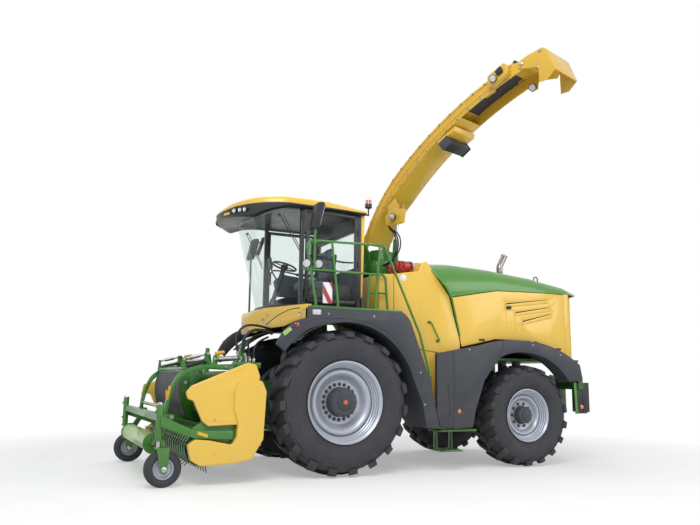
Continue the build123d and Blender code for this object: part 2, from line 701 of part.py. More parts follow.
# ---- mirrors, lamps, exhaust, extinguishers, hitch ----
mirror_outline = [(475, 3290), (585, 3280), (500, 3655), (385, 3670)]
with BuildPart() as mirrors:
    for y in (1535, -1395):
        plate(mirror_outline, y, 140)
    fillet(mirrors.edges().filter_by(Axis.Y), 30)
    # wide-angle mirror on its arm, inboard of the main one
    for side in (1, -1):
        inner = side * 1330
        rod((430, side * 1400, 3590), (400, inner, 3590), 12)
        with Locations(Plane(origin=at(385, inner, 3520), x_dir=(0, 1, 0), z_dir=(0.95, 0, 0.3))):
            Box(70, 330, 50)
mirrors.part.label = "mirrors"
export_step(mirrors.part, "parts/mirrors.step")

with BuildPart() as lamps:
    for side in (1, -1):
        box((-4390, -4250), sorted((side * 1180, side * 1420)), (760, 1230))
    # work lamps standing on the middle rail, inside the tubes
    for x in (612, 443):
        box((x - 25, x + 25), (rail_y - 70, rail_y + 10), (2735, 2743))
        box((x - 50, x + 50), (rail_y - 85, rail_y - 18), (2743, 2843))
    # beacon on its stalk behind the roof
    rod((-655, 700, 3775), (-700, 700, 3775), 12)
    rod((-700, 700, 3763), (-700, 700, 3900), 12)
    rod((-700, 700, 3890), (-700, 700, 4010), 48)
lamps.part.label = "lamps"
export_step(lamps.part, "parts/lamps.step")

with BuildPart() as exhaust:
    tube_run([(-3450, 380, 2450), (-3450, 380, 3220), (-3560, 380, 3420)], 55, 150)
exhaust.part.label = "exhaust"
export_step(exhaust.part, "parts/exhaust.step")

with BuildPart() as extinguishers:
    # row: front end, rear end, left
    for front, rear, y in ((-1060, -1290, 1010), (-1060, -1290, 760)):
        rod((front, y, 2965), (rear, y, 2965), 75)
        rod((front + 45, y, 2965), (front, y, 2965), 28)
        for x in (front - 70, rear + 30):
            box((x, x + 30), (y - 60, y + 60), (2878, 2965))
extinguishers.part.label = "extinguishers"
export_step(extinguishers.part, "parts/extinguishers.step")

pin_radius = 16.0
with BuildPart() as rear_hitch:
    box((-4600, -4250), (-120, 120), (675, 725))
    with Locations(at(-4700, 0, 700)):
        Cylinder(75, 50)
    box((-4700, -4600), (-75, 75), (675, 725))
    with Locations(at(-4700, 0, 700)):
        Cylinder(pin_radius, 50, mode=Mode.SUBTRACT)
rear_hitch.part.label = "rear_hitch"
export_step(rear_hitch.part, "parts/rear_hitch.step")

# ---- discharge chute ----
# three points of each arc in the chute's plane, as (away from the slewing axis, up)
chute_outer = [[(-60, 3590), (200, 4020), (570, 4440)], [(570, 4440), (1400, 5040), (2840, 5660)]]
chute_inner = [[(2980, 5510), (1350, 4780), (550, 4150)], [(550, 4150), (210, 3800), (10, 3430)]]
chute_end = (3080, 5640)
wall = 16.0
half = chute_width / 2


def towards_centre(arc, distance):
    # the three points of the concentric arc that lies inwards by the distance
    with BuildLine(mode=Mode.PRIVATE):
        centre = ThreePointArc(*arc).arc_center
    points = [Vector(*point) for point in arc]
    return [point + (centre - point).normalized() * distance for point in points]


def chute_profile(aside, inset=0):
    # the chute's side outline, drawn inwards by the inset
    with BuildSketch(chute_plane(aside), mode=Mode.PRIVATE) as profile:
        with BuildLine():
            for arc in chute_outer:
                ThreePointArc(*arc)
            Polyline(chute_outer[1][2], chute_end, chute_inner[0][0])
            for arc in chute_inner:
                ThreePointArc(*arc)
            Line(chute_inner[1][2], chute_outer[0][0])
        make_face()
        if inset:
            offset(amount=-inset, kind=Kind.INTERSECTION, mode=Mode.REPLACE)
    return profile.sketch


def chute_plate(points, low, high, mode=Mode.ADD):
    with BuildSketch(chute_plane(low), mode=Mode.PRIVATE) as outline:
        with BuildLine():
            Polyline(*points, close=True)
        make_face()
    extrude(outline.sketch, amount=high - low, mode=mode)


def chute_rod(start, end, low, high, radius, mode=Mode.ADD):
    # a round bar between two points (away, up) of the chute's plane with their side offsets
    a, b = [
        Vector(*at(slew_x, 0, point[1])) + Vector(*chute_back) * point[0] + Vector(*chute_side) * aside
        for point, aside in ((start, low), (end, high))
    ]
    with Locations(Plane(origin=a, z_dir=b - a)):
        Cylinder(radius, (b - a).length, align=(Align.CENTER, Align.CENTER, Align.MIN), mode=mode)


with BuildPart() as chute_turntable:
    with Locations(at(slew_x, 0, 3052)):
        Cylinder(300, 180)
        Cylinder(240, 180, mode=Mode.SUBTRACT)
    chute_plate([(-120, 3142), (240, 3142), (240, 3330), (60, 3340), (-60, 3300), (-120, 3250)], -225, 225)
    chute_plate([(-90, 3130), (210, 3130), (210, 3345), (40, 3345), (-90, 3245)], -200, 200, mode=Mode.SUBTRACT)
    for low in (-290, 262):
        chute_plate(
            [(-170, 3100), (100, 3100), (60, 3300), (-50, 3450), (-150, 3450), (-190, 3300)], low, low + 28,
        )
    # bracket of the lift cylinder
    for low in (-60, 32):
        chute_plate([(250, 2990), (420, 3020), (420, 3130), (280, 3140)], low, low + 28)
    chute_rod(lift_foot, lift_foot, -60, 60, 18)
    chute_rod(lift_pin, lift_pin, -290, -262, 30)
    chute_rod(lift_pin, lift_pin, 262, 290, 30)
chute_turntable.part.label = "chute_turntable"
export_step(chute_turntable.part, "parts/chute_turntable.step")

with BuildPart() as chute_arm:
    extrude(chute_profile(-half), amount=chute_width)
    extrude(chute_profile(-half + wall, wall), amount=chute_width - 2 * wall, mode=Mode.SUBTRACT)
    # the duct is open at its foot and along its underside towards the end
    foot_gap = [(12, 3474), (-6, 3433), (-60, 3554), (-40, 3594)]
    under_gap = [(1930, 5150), (1965, 5050), (3100, 5460), (3100, 5600), (2950, 5600)]
    for gap in (foot_gap, under_gap):
        chute_plate(gap, -half + wall, half - wall, mode=Mode.SUBTRACT)
    for low in (-half, half - wall):
        chute_plate([(-170, 3340), (-30, 3340), (30, 3480), (-50, 3620), (-150, 3560)], low, low + wall)
    # folded edge strips along the back
    for low in (-half - 14, half):
        for arc in chute_outer:
            inner = towards_centre(arc, 30)
            with BuildSketch(chute_plane(low), mode=Mode.PRIVATE) as strip:
                with BuildLine():
                    ThreePointArc(*arc)
                    Line(arc[2], inner[2])
                    ThreePointArc(*inner[::-1])
                    Line(inner[0], arc[0])
                make_face()
            extrude(strip.sketch, amount=14)
    for low in (-64, 46):
        chute_plate([(300, 3880), (455, 3800), (520, 4080), (420, 4010)], low, low + 18)
    chute_rod(lift_eye, lift_eye, -64, 64, 7)
chute_arm.part.label = "chute_arm"
export_step(chute_arm.part, "parts/chute_arm.step")

# end deflector: two hinged channels
flap_hinge, tip_hinge = (3020, 5600), (3330, 5690)
with BuildPart() as chute_flap:
    for low in (-half - 20, half + 8):
        chute_plate(
            [(2960, 5560), (3060, 5520), (3260, 5480), (3380, 5660), (3330, 5730), (3100, 5690), (2980, 5650)],
            low, low + 12,
        )
    chute_plate([(3090, 5670), (3320, 5712), (3318, 5724), (3087, 5682)], -half - 20, half + 20)
chute_flap.part.label = "chute_flap"
export_step(chute_flap.part, "parts/chute_flap.step")
with BuildPart() as chute_tip:
    for low in (-half - 38, half + 26):
        chute_plate(
            [(3290, 5640), (3300, 5240), (3420, 5240), (3540, 5350), (3420, 5670), (3350, 5730)],
            low, low + 12,
        )
    chute_plate(
        [(3385, 5716), (3430, 5670), (3552, 5350), (3541, 5346), (3420, 5664), (3378, 5706)],
        -half - 38, half + 38,
    )
chute_tip.part.label = "chute_tip"
export_step(chute_tip.part, "parts/chute_tip.step")

# lift cylinder of the chute
lift_length = Vector(lift_eye[0] - lift_foot[0], lift_eye[1] - lift_foot[1])


def along_lift(distance):
    step = lift_length.normalized() * distance
    return (lift_foot[0] + step.X, lift_foot[1] + step.Y)


with BuildPart() as chute_lift_barrel:
    chute_rod(lift_foot, lift_foot, -28, 28, 40)
    chute_rod(along_lift(20), along_lift(80), 0, 0, 27)
    chute_rod(along_lift(74), along_lift(430), 0, 0, 42)
    chute_rod(lift_foot, lift_foot, -40, 40, 18.4, mode=Mode.SUBTRACT)
    chute_rod(along_lift(86), along_lift(431), 0, 0, 25.5, mode=Mode.SUBTRACT)
chute_lift_barrel.part.label = "chute_lift_barrel"
export_step(chute_lift_barrel.part, "parts/chute_lift_barrel.step")
with BuildPart() as chute_lift_rod:
    chute_rod(along_lift(370), along_lift(lift_length.length - 30), 0, 0, 25)
    chute_rod(lift_eye, lift_eye, -20, 20, 38)
    chute_rod(lift_eye, lift_eye, -30, 30, 24, mode=Mode.SUBTRACT)
chute_lift_rod.part.label = "chute_lift_rod"
export_step(chute_lift_rod.part, "parts/chute_lift_rod.step")

# ---- feed housing, turning about the drum's axis ----
feed_half = 340.0
header_eye, header_foot, header_cylinder_y = (1000.0, 520.0), (200.0, 560.0), 400.0
with BuildPart() as feed_housing:
    with BuildSketch(side_plane(feed_half)):
        with BuildLine():
            rear = [on_arch(header_pivot, 352, a) for a in (30, -10, -50)]
            ThreePointArc(*rear)
            Polyline(rear[2], (1260, 420), (1260, 1150), rear[0])
        make_face()
    extrude(amount=2 * feed_half)
    plate([(480, 1180), (480, 735), (1300, 445), (1300, 1120)], 320, 640, mode=Mode.SUBTRACT)
    for side in (1, -1):
        box((950, 1050), sorted((side * 340, side * 374)), (470, 570))
        rod((header_eye[0], side * 374, header_eye[1]), (header_eye[0], side * 426, header_eye[1]), 7)
feed_housing.part.label = "feed_housing"
export_step(feed_housing.part, "parts/feed_housing.step")

header_run = Vector(header_eye[0] - header_foot[0], header_eye[1] - header_foot[1])


def along_header_lift(distance, side):
    step = header_run.normalized() * distance
    return (header_foot[0] + step.X, side * header_cylinder_y, header_foot[1] + step.Y)


with BuildPart() as header_lift_barrels:
    for side in (1, -1):
        y = side * header_cylinder_y
        foot_low, foot_high = [(header_foot[0], y + d, header_foot[1]) for d in (-30, 30)]
        rod(foot_low, foot_high, 34)
        rod(along_header_lift(20, side), along_header_lift(560, side), 36)
        rod(foot_low, foot_high, 15.4, mode=Mode.SUBTRACT)
        rod(along_header_lift(46, side), along_header_lift(561, side), 22.5, mode=Mode.SUBTRACT)
header_lift_barrels.part.label = "header_lift_barrels"
export_step(header_lift_barrels.part, "parts/header_lift_barrels.step")
with BuildPart() as header_lift_rods:
    for side in (1, -1):
        eye_low, eye_high = [(header_eye[0], side * header_cylinder_y + d, header_eye[1]) for d in (-18, 18)]
        rod(along_header_lift(70, side), along_header_lift(header_run.length - 26, side), 22)
        rod(eye_low, eye_high, 32)
        rod(eye_low, eye_high, 20, mode=Mode.SUBTRACT)
header_lift_rods.part.label = "header_lift_rods"
export_step(header_lift_rods.part, "parts/header_lift_rods.step")

# ---- pick-up: frame, covers, reel, auger, press roller, gauge wheels ----
side_wall_y = 1480.0
tine_pitch, tine_count, tine_rows = 140.0, 20, 6
tine_span = tine_pitch * (tine_count - 1) / 2
tine_root, band_radius = 190.0, 215.0
trough_radius = 250.0
press_arm_y, lift_arm_y, post_y = 1010.0, 950.0, 1440.0


def beside(points, distance):
    # the same line shifted to its right by the distance
    shifted = []
    for i, (x, z) in enumerate(points):
        before, after = points[max(i - 1, 0)], points[min(i + 1, len(points) - 1)]
        run = Vector(after[0] - before[0], after[1] - before[1]).normalized()
        shifted.append((x + run.Y * distance, z - run.X * distance))
    return shifted


def ring_sector(centre, inner, outer, first, last, y, width):
    # part of a ring between two angles, from y towards the right
    middle = (first + last) / 2
    with BuildSketch(side_plane(y), mode=Mode.PRIVATE) as sector:
        with BuildLine():
            ThreePointArc(*[on_arch(centre, inner, a) for a in (first, middle, last)])
            Line(on_arch(centre, inner, last), on_arch(centre, outer, last))
            ThreePointArc(*[on_arch(centre, outer, a) for a in (last, middle, first)])
            Line(on_arch(centre, outer, first), on_arch(centre, inner, first))
        make_face()
    extrude(sector.sketch, amount=width)


with BuildPart() as band:
    ring_sector(reel_axis, band_radius, band_radius + 8, -110, 110, 30, 60)
    trough_end = [on_arch(auger_axis, trough_radius + r, 304) for r in (0, 12)]
    for angle, end in ((110, trough_end), (-110, [(1590, 205), (1590, 225)])):
        plate([on_arch(reel_axis, r, angle) for r in (band_radius, band_radius + 8)] + end, 30, 60)

# curved arm of the press frame, from the back beam down to the front beam
with BuildPart() as lift_arm:
    with BuildSketch(side_plane(lift_arm_y + 30)):
        with BuildLine():
            Polyline((2290, 819), (2290, 745), (2410, 745), (2410, 790), (2345, 790), (2336, 819))
            ThreePointArc((2336, 819), (2293, 1050), (2200, 1254))
            ThreePointArc((2200, 1254), (2092, 1342), (1962, 1390))
            Polyline((1962, 1390), (1860, 1413), (1400, 1433), (1400, 1300), (1440, 1300), (1460, 1345))
            Line((1460, 1345), (1769, 1357))
            ThreePointArc((1769, 1357), (1880, 1343), (1987, 1321))
            ThreePointArc((1987, 1321), (2110, 1250), (2195, 1155))
            ThreePointArc((2195, 1155), (2252, 1000), (2290, 819))
        make_face()
    extrude(amount=60)

with BuildPart() as pickup_frame:
    # back wall with the mouth of the feed housing
    box((1260, 1290), (-side_wall_y, side_wall_y), (330, 1340))
    with Locations(at(1275, 0, 840)):
        Box(40, 640, 560, mode=Mode.SUBTRACT)
    box((1285, 1420), (-330, 330), (545, 560))
    box((1260, 1420), (-1300, 1300), (1250, 1340))
    # side walls
    for y in (side_wall_y, 15 - side_wall_y):
        plate(
            [
                (1260, 1340), (1480, 1390), (1900, 1050), (1980, 700), (2080, 640), (2060, 480), (2000, 250),
                (1400, 230), (1260, 400),
            ],
            y, 15,
        )
    # trough round the auger, open in the middle towards the feed housing
    ring_sector(auger_axis, trough_radius, trough_radius + 12, 235, 305, side_wall_y, 2 * side_wall_y)
    for y in (side_wall_y, -330):
        ring_sector(auger_axis, trough_radius, trough_radius + 12, 194, 235, y, side_wall_y - 330)
    box((1550, 1600), (-side_wall_y, side_wall_y), (200, 260))
    # guide bands round the reel, between the tines
    add([Pos(0, tine_span - tine_pitch * (i + 0.5), 0) * band.part for i in range(tine_count - 1)])
    add([lift_arm.part, Pos(0, -2 * lift_arm_y, 0) * lift_arm.part])
    # side beams, posts and the forks that carry the gauge wheels
    for side in (1, -1):
        plate(
            [(1585, 497), (2053, 517), (2463, 660), (2470, 790), (2058, 609), (1585, 599)],
            1540 if side > 0 else -side_wall_y, 60,
        )
        rod((2470, side * post_y, 490), (2470, side * post_y, 920), 42)
        rod((2470, side * post_y, 920), (2470, side * post_y, 935), 32)
        rod((2470, side * post_y, 405), (2470, side * post_y, 490), 22)
        wheel_y = side * gauge_wheel_y
        box((2345, 2500), (wheel_y - 110, wheel_y + 110), (395, 413))
        for offset_y in (-98, 110):
            plate([(2345, 413), (2500, 413), (2438, 125), (2400, 108), (2362, 125)], wheel_y + offset_y, 12)
        rod((gauge_x, wheel_y - 100, gauge_axle_z), (gauge_x, wheel_y + 100, gauge_axle_z), 14)
    box((2400, 2480), (-post_y, post_y), (720, 800))
    # cross tubes: apron hanger, link tube and the pale tube in front
    for x, z in ((2085, 1362), (1750, 1425), (2290, 860)):
        rod((x, -lift_arm_y, z), (x, lift_arm_y, z), 22)
    # top links: brackets on the tubes, a link with its turnbuckle, a spring, and a cylinder behind
    for side in (1, -1):
        link_y = side * 860
        plate([(2060, 1352), (2118, 1350), (2105, 1500), (2078, 1500)], link_y + 6, 12)
        plate([(1715, 1415), (1835, 1410), (1815, 1580), (1740, 1560)], link_y + 6, 12)
        rod((2095, link_y, 1485), (1780, link_y, 1560), 12)
        rod((2010, link_y, 1505), (1880, link_y, 1536), 22)
        rod((2080, link_y, 1395), (1780, link_y, 1468), 18)
        cylinder_y = side * lift_arm_y
        plate([(1660, 1405), (1740, 1405), (1722, 1545), (1670, 1545)], cylinder_y + 10, 20)
        rod((1695, cylinder_y, 1486), (1365, cylinder_y, 1514), 33)
        plate([(1300, 1330), (1385, 1330), (1365, 1710), (1305, 1710)], cylinder_y + 10, 20)
    # lugs of the press roller's arms, and the bearings of auger and reel
    for y in (press_arm_y + 40, -press_arm_y - 20):
        plate([(2215, 715), (2285, 712), (2410, 730), (2410, 792), (2290, 785), (2215, 780)], y, 20)
    for point, hole in ((roller_pivot, 15.4), (auger_axis, 30.4), (reel_axis, 30.4)):
        low, high = [(point[0], y, point[1]) for y in (-1600, 1600)]
        rod(low, high, hole, mode=Mode.SUBTRACT)
pickup_frame.part.label = "pickup_frame"
export_step(pickup_frame.part, "parts/pickup_frame.step")

# moulded covers of the header's ends: a large upper one, and a lobe that stands out in front of it
upper_cover = [
    (1250, 1262), (1310, 1420), (1420, 1440), (2120, 1150), (2190, 1070), (2160, 985), (2095, 965),
    (1980, 720), (1900, 658), (1480, 673),
]
lobe_cover = [
    (1397, 1245), (1230, 1210), (1172, 1080), (1197, 490), (1345, 245), (1600, 203), (1985, 190), (2105, 262),
    (2150, 440), (2060, 508), (1880, 492), (1600, 432), (1545, 530), (1534, 690), (1590, 860), (1592, 1080),
    (1515, 1215),
]
cover_corner, cover_edge = 40.0, 18.0
with BuildPart() as pickup_covers:
    # row: outline, how far the outer face stands out
    for outline, outer_y in ((upper_cover, 1545), (lobe_cover, 1580)):
        with BuildSketch(side_plane(outer_y)) as cover:
            with BuildLine():
                Polyline(*outline, close=True)
            make_face()
            fillet(cover.vertices(), cover_corner)
        extrude(amount=outer_y - side_wall_y)
        fillet(pickup_covers.faces().sort_by(Axis.Y)[-1].edges(), cover_edge)
    mirror(about=Plane.XZ)
pickup_covers.part.label = "pickup_covers"
export_step(pickup_covers.part, "parts/pickup_covers.step")

with BuildPart() as crop_apron:
    curtain = [(2080, 1338), (2118, 1240), (2140, 1080), (2110, 900), (2050, 760)]
    plate(curtain + beside(curtain, 12)[::-1], 900, 1800)
crop_apron.part.label = "crop_apron"
export_step(crop_apron.part, "parts/crop_apron.step")

with BuildPart() as pickup_reel:
    rod((reel_axis[0], -1479, reel_axis[1]), (reel_axis[0], 1479, reel_axis[1]), 30)
    rod((reel_axis[0], -1440, reel_axis[1]), (reel_axis[0], 1440, reel_axis[1]), 60)
    for y in (-1430, 0, 1430):
        rod((reel_axis[0], y - 5, reel_axis[1]), (reel_axis[0], y + 5, reel_axis[1]), 200)
    for row in range(tine_rows):
        angle = row * 360 / tine_rows + 20
        x, z = on_arch(reel_axis, tine_root - 10, angle)
        rod((x, -1435, z), (x, 1435, z), 16)
        x, z = on_arch(reel_axis, (reel_radius + tine_root) / 2, angle)
        tine_places = [at(x, tine_span - tine_pitch * i, z) for i in range(tine_count)]
        with Locations([Location(place, (0, -angle, 0)) for place in tine_places]):
            Box(reel_radius - tine_root, 10, 10)
pickup_reel.part.label = "pickup_reel"
export_step(pickup_reel.part, "parts/pickup_reel.step")

flight_pitch, flight_turns = 450.0, 2.4
with BuildPart() as intake_auger:
    rod((auger_axis[0], -1479, auger_axis[1]), (auger_axis[0], 1479, auger_axis[1]), 30)
    rod((auger_axis[0], -1440, auger_axis[1]), (auger_axis[0], 1440, auger_axis[1]), 110)
    sections = []
    for step in range(int(flight_turns * 8) + 1):
        y, angle = 1435 - step * flight_pitch / 8, step * 45
        root, tip = [on_arch(auger_axis, r, angle) for r in (100, auger_radius)]
        outwards = (cos(radians(angle)), 0, sin(radians(angle)))
        across = (sin(radians(angle)), 0, -cos(radians(angle)))
        flight_plane = Plane(origin=at(root[0], y, root[1]), x_dir=outwards, z_dir=across)
        with BuildSketch(flight_plane, mode=Mode.PRIVATE) as flight:
            Rectangle(auger_radius - 100, 10, align=(Align.MIN, Align.CENTER))
        sections.append(flight.sketch)
    loft(sections, ruled=True)
    mirror(about=Plane.XZ)
intake_auger.part.label = "intake_auger"
export_step(intake_auger.part, "parts/intake_auger.step")

press_run = Vector(roller_axis[0] - roller_pivot[0], roller_axis[1] - roller_pivot[1])
press_middle = ((roller_axis[0] + roller_pivot[0]) / 2, (roller_axis[1] + roller_pivot[1]) / 2)
with BuildPart() as press_arms:
    for side in (1, -1):
        y = side * press_arm_y
        with BuildSketch(side_plane(y + 10), mode=Mode.PRIVATE) as press_arm:
            with Locations(press_middle):
                SlotCenterToCenter(press_run.length, 76, rotation=degrees(atan2(press_run.Y, press_run.X)))
        extrude(press_arm.sketch, amount=20)
        rod((roller_pivot[0], y, roller_pivot[1]), (roller_pivot[0], y + side * 40, roller_pivot[1]), 15)
        bore_ends = [(roller_axis[0], y + d, roller_axis[1]) for d in (-20, 20)]
        rod(*bore_ends, 20.4, mode=Mode.SUBTRACT)
press_arms.part.label = "press_arms"
export_step(press_arms.part, "parts/press_arms.step")
with BuildPart() as press_roller:
    with BuildSketch(side_plane(roller_half)):
        with Locations(roller_axis):
            RegularPolygon(118, 10)
    extrude(amount=2 * roller_half)
    for y in (-roller_half, roller_half):
        rod((roller_axis[0], y - 8, roller_axis[1]), (roller_axis[0], y + 8, roller_axis[1]), 128)
    shaft_end = press_arm_y + 9
    rod((roller_axis[0], -shaft_end, roller_axis[1]), (roller_axis[0], shaft_end, roller_axis[1]), 20)
press_roller.part.label = "press_roller"
export_step(press_roller.part, "parts/press_roller.step")

with BuildPart() as gauge_wheel:
    plane = Plane(origin=at(gauge_x, gauge_wheel_y, gauge_axle_z), x_dir=(0, 1, 0), z_dir=(1, 0, 0))
    with BuildSketch(plane):
        with BuildLine():
            ThreePointArc((-60, 120), (-80, 165), (-60, gauge_radius - 14))
            Polyline(
                (-60, gauge_radius - 14), (-34, gauge_radius), (34, gauge_radius), (60, gauge_radius - 14)
            )
            ThreePointArc((60, gauge_radius - 14), (80, 165), (60, 120))
            Polyline(
                (60, 120), (50, 108), (20, 95), (20, 40), (60, 38), (60, 14.5), (-60, 14.5), (-60, 38), (-20, 40),
                (-20, 95), (-50, 108), (-60, 120),
            )
        make_face()
    revolve(axis=Axis(plane.origin, (0, 1, 0)))
export_pair(gauge_wheel.part, "gauge_wheel")
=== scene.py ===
import json
import math
import bpy
from mathutils import Matrix, Vector

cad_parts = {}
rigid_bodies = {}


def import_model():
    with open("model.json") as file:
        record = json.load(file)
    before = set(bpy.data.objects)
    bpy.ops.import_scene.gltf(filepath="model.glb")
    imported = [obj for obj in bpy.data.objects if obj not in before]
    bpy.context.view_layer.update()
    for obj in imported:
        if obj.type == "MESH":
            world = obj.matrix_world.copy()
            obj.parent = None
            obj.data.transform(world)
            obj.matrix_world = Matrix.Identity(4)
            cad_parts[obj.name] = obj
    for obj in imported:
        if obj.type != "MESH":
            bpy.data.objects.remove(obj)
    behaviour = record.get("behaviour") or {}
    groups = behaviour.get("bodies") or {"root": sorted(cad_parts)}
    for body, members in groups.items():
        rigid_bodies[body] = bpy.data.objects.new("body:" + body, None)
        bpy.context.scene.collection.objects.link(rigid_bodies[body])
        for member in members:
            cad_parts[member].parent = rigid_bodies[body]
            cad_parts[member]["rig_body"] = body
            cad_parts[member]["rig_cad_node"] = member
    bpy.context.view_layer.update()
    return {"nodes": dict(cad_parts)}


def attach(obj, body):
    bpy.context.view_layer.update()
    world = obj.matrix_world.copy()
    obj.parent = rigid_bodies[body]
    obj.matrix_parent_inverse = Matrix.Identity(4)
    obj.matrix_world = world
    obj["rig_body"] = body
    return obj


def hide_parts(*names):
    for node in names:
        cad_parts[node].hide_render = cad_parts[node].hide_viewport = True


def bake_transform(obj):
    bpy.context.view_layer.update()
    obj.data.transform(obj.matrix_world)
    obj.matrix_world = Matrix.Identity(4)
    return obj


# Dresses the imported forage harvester: finishes, lamps, hoses, fasteners, cab interior, floor, light and camera.
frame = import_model()
pinHeight = 0.7
floorLevel = -pinHeight - 0.055
axleX = 4.7
forward, leftward, upright = (1, 0, 0), (0, 1, 0), (0, 0, 1)
cabDoors, hoodFlaps = ("cab_door_left", "cab_door_right"), ("hood_flap_left", "hood_flap_right")
mergeGap = 0.00005


def at(x, y, z):
    # forward of the front axle, left of the middle, above the ground line
    return Vector((axleX + x, y, z - pinHeight))


def linearColour(hexText, alpha=1.0):
    parts = [int(hexText[i:i + 2], 16) / 255 for i in (1, 3, 5)]
    return (*[c / 12.92 if c <= 0.04045 else ((c + 0.055) / 1.055) ** 2.4 for c in parts], alpha)


def addNode(tree, kind, settings=None, links=None):
    node = tree.nodes.new(kind)
    for key, value in (settings or {}).items():
        if isinstance(key, int) or key in node.inputs:
            node.inputs[key].default_value = value
        else:
            setattr(node, key, value)
    for key, source in (links or {}).items():
        tree.links.new(source, node.inputs[key])
    return node


def newMaterial(name):
    # an empty material, its node tree and the coordinates that its patterns lie in
    material = bpy.data.materials.new(name)
    material.use_nodes = True
    material.node_tree.nodes.clear()
    return material, material.node_tree, addNode(material.node_tree, "ShaderNodeTexCoord").outputs["Object"]


def finishMaterial(tree, shader):
    addNode(tree, "ShaderNodeOutputMaterial", links={"Surface": shader.outputs[0]})


def driftedColour(tree, drift, look):
    # the finish's two shades, mixed by a slow drift
    return addNode(tree, "ShaderNodeMix",
                   {"data_type": "RGBA", 6: linearColour(look["hex"]), 7: linearColour(look["shadeHex"])},
                   {0: drift.outputs[0]}).outputs[2]


def dustedColour(tree, coords, colour, look):
    # field dust lies thick near the ground and thins out upwards
    height = addNode(tree, "ShaderNodeSeparateXYZ", links={"Vector": coords})
    fade = addNode(tree, "ShaderNodeMapRange", {1: floorLevel, 2: floorLevel + look["dustTop"], 3: 1.0, 4: 0.12},
                   {0: height.outputs[2]})
    clouds = addNode(tree, "ShaderNodeTexNoise", {"Scale": 4.0, "Detail": 6.0, "Roughness": 0.65}, {"Vector": coords})
    patches = addNode(tree, "ShaderNodeMapRange", {1: 0.42, 2: 0.72, 3: 0.15, 4: 1.0}, {0: clouds.outputs[0]})
    amount = addNode(tree, "ShaderNodeMath", {"operation": "MULTIPLY"}, {0: fade.outputs[0], 1: patches.outputs[0]})
    share = addNode(tree, "ShaderNodeMath", {"operation": "MULTIPLY", 1: look["dust"]}, {0: amount.outputs[0]})
    mixed = addNode(tree, "ShaderNodeMix", {"data_type": "RGBA", 7: linearColour(look["dustHex"])},
                    {0: share.outputs[0], 6: colour})
    return mixed.outputs[2], share.outputs[0]


def layeredSurface(name, base, colour, shade, scuffColour, **own):
    # one opaque surface: broad colour drift, fine relief, uneven gloss, small scuffs and dust
    look = {**base, "hex": colour, "shadeHex": shade, "scuffHex": scuffColour, **own}
    material, tree, coords = newMaterial(name)
    drift = addNode(tree, "ShaderNodeTexNoise", {"Scale": look.get("driftScale", 1.1), "Detail": 4.0},
                    {"Vector": coords})
    scratches = addNode(tree, "ShaderNodeTexNoise",
                        {"Scale": 38.0, "Detail": 8.0, "Roughness": 0.75, "Distortion": 1.6}, {"Vector": coords})
    scuff = addNode(tree, "ShaderNodeMapRange", {1: 0.66, 2: 0.74, 3: 0.0, 4: look["scuff"]}, {0: scratches.outputs[0]})
    scuffed = addNode(tree, "ShaderNodeMix", {"data_type": "RGBA", 7: linearColour(look["scuffHex"])},
                      {0: scuff.outputs[0], 6: driftedColour(tree, drift, look)})
    colour, dustShare = dustedColour(tree, coords, scuffed.outputs[2], look)
    smudges = addNode(tree, "ShaderNodeTexNoise", {"Scale": 7.0, "Detail": 5.0}, {"Vector": coords})
    gloss = addNode(tree, "ShaderNodeMapRange", {1: 0.25, 2: 0.75, 3: look["roughness"] - look["glossDrift"],
                                                 4: look["roughness"] + look["glossDrift"]}, {0: smudges.outputs[0]})
    rough = addNode(tree, "ShaderNodeMath", {"operation": "MULTIPLY_ADD", 1: 0.5, "use_clamp": True},
                    {0: dustShare, 2: gloss.outputs[0]})
    grain = addNode(tree, "ShaderNodeTexNoise", {"Scale": 1000.0 / look["grainMm"], "Detail": 2.0}, {"Vector": coords})
    relief = addNode(tree, "ShaderNodeBump", {"Strength": look["relief"], "Distance": look["grainMm"] / 4000.0},
                     {"Height": grain.outputs[0]})
    shader = addNode(tree, "ShaderNodeBsdfPrincipled",
                     {"Metallic": look["metallic"], "IOR": 1.5, "Coat Weight": look["coat"], "Coat Roughness": 0.08},
                     {"Base Color": colour, "Roughness": rough.outputs[0], "Normal": relief.outputs[0]})
    finishMaterial(tree, shader)
    return material


# opaque finishes: values shared by a kind, then each with its colour, its second shade, the colour of its scuffs
# and what it has of its own; grainMm is the size of its relief
paintLook = {"roughness": 0.34, "glossDrift": 0.06, "metallic": 0.0, "coat": 0.35, "grainMm": 3.0, "relief": 0.05,
             "scuff": 0.10, "dust": 0.10, "dustTop": 1.6, "dustHex": "#B3A58A"}
plasticLook = {"roughness": 0.5, "glossDrift": 0.07, "metallic": 0.0, "coat": 0.0, "grainMm": 1.6, "relief": 0.25,
               "scuff": 0.16, "dust": 0.14, "dustTop": 1.6, "dustHex": "#9C968A"}
metalLook = {"roughness": 0.3, "glossDrift": 0.08, "metallic": 1.0, "coat": 0.0, "grainMm": 0.8, "relief": 0.08,
             "scuff": 0.2, "dust": 0.12, "dustTop": 1.2, "dustHex": "#8E877A"}
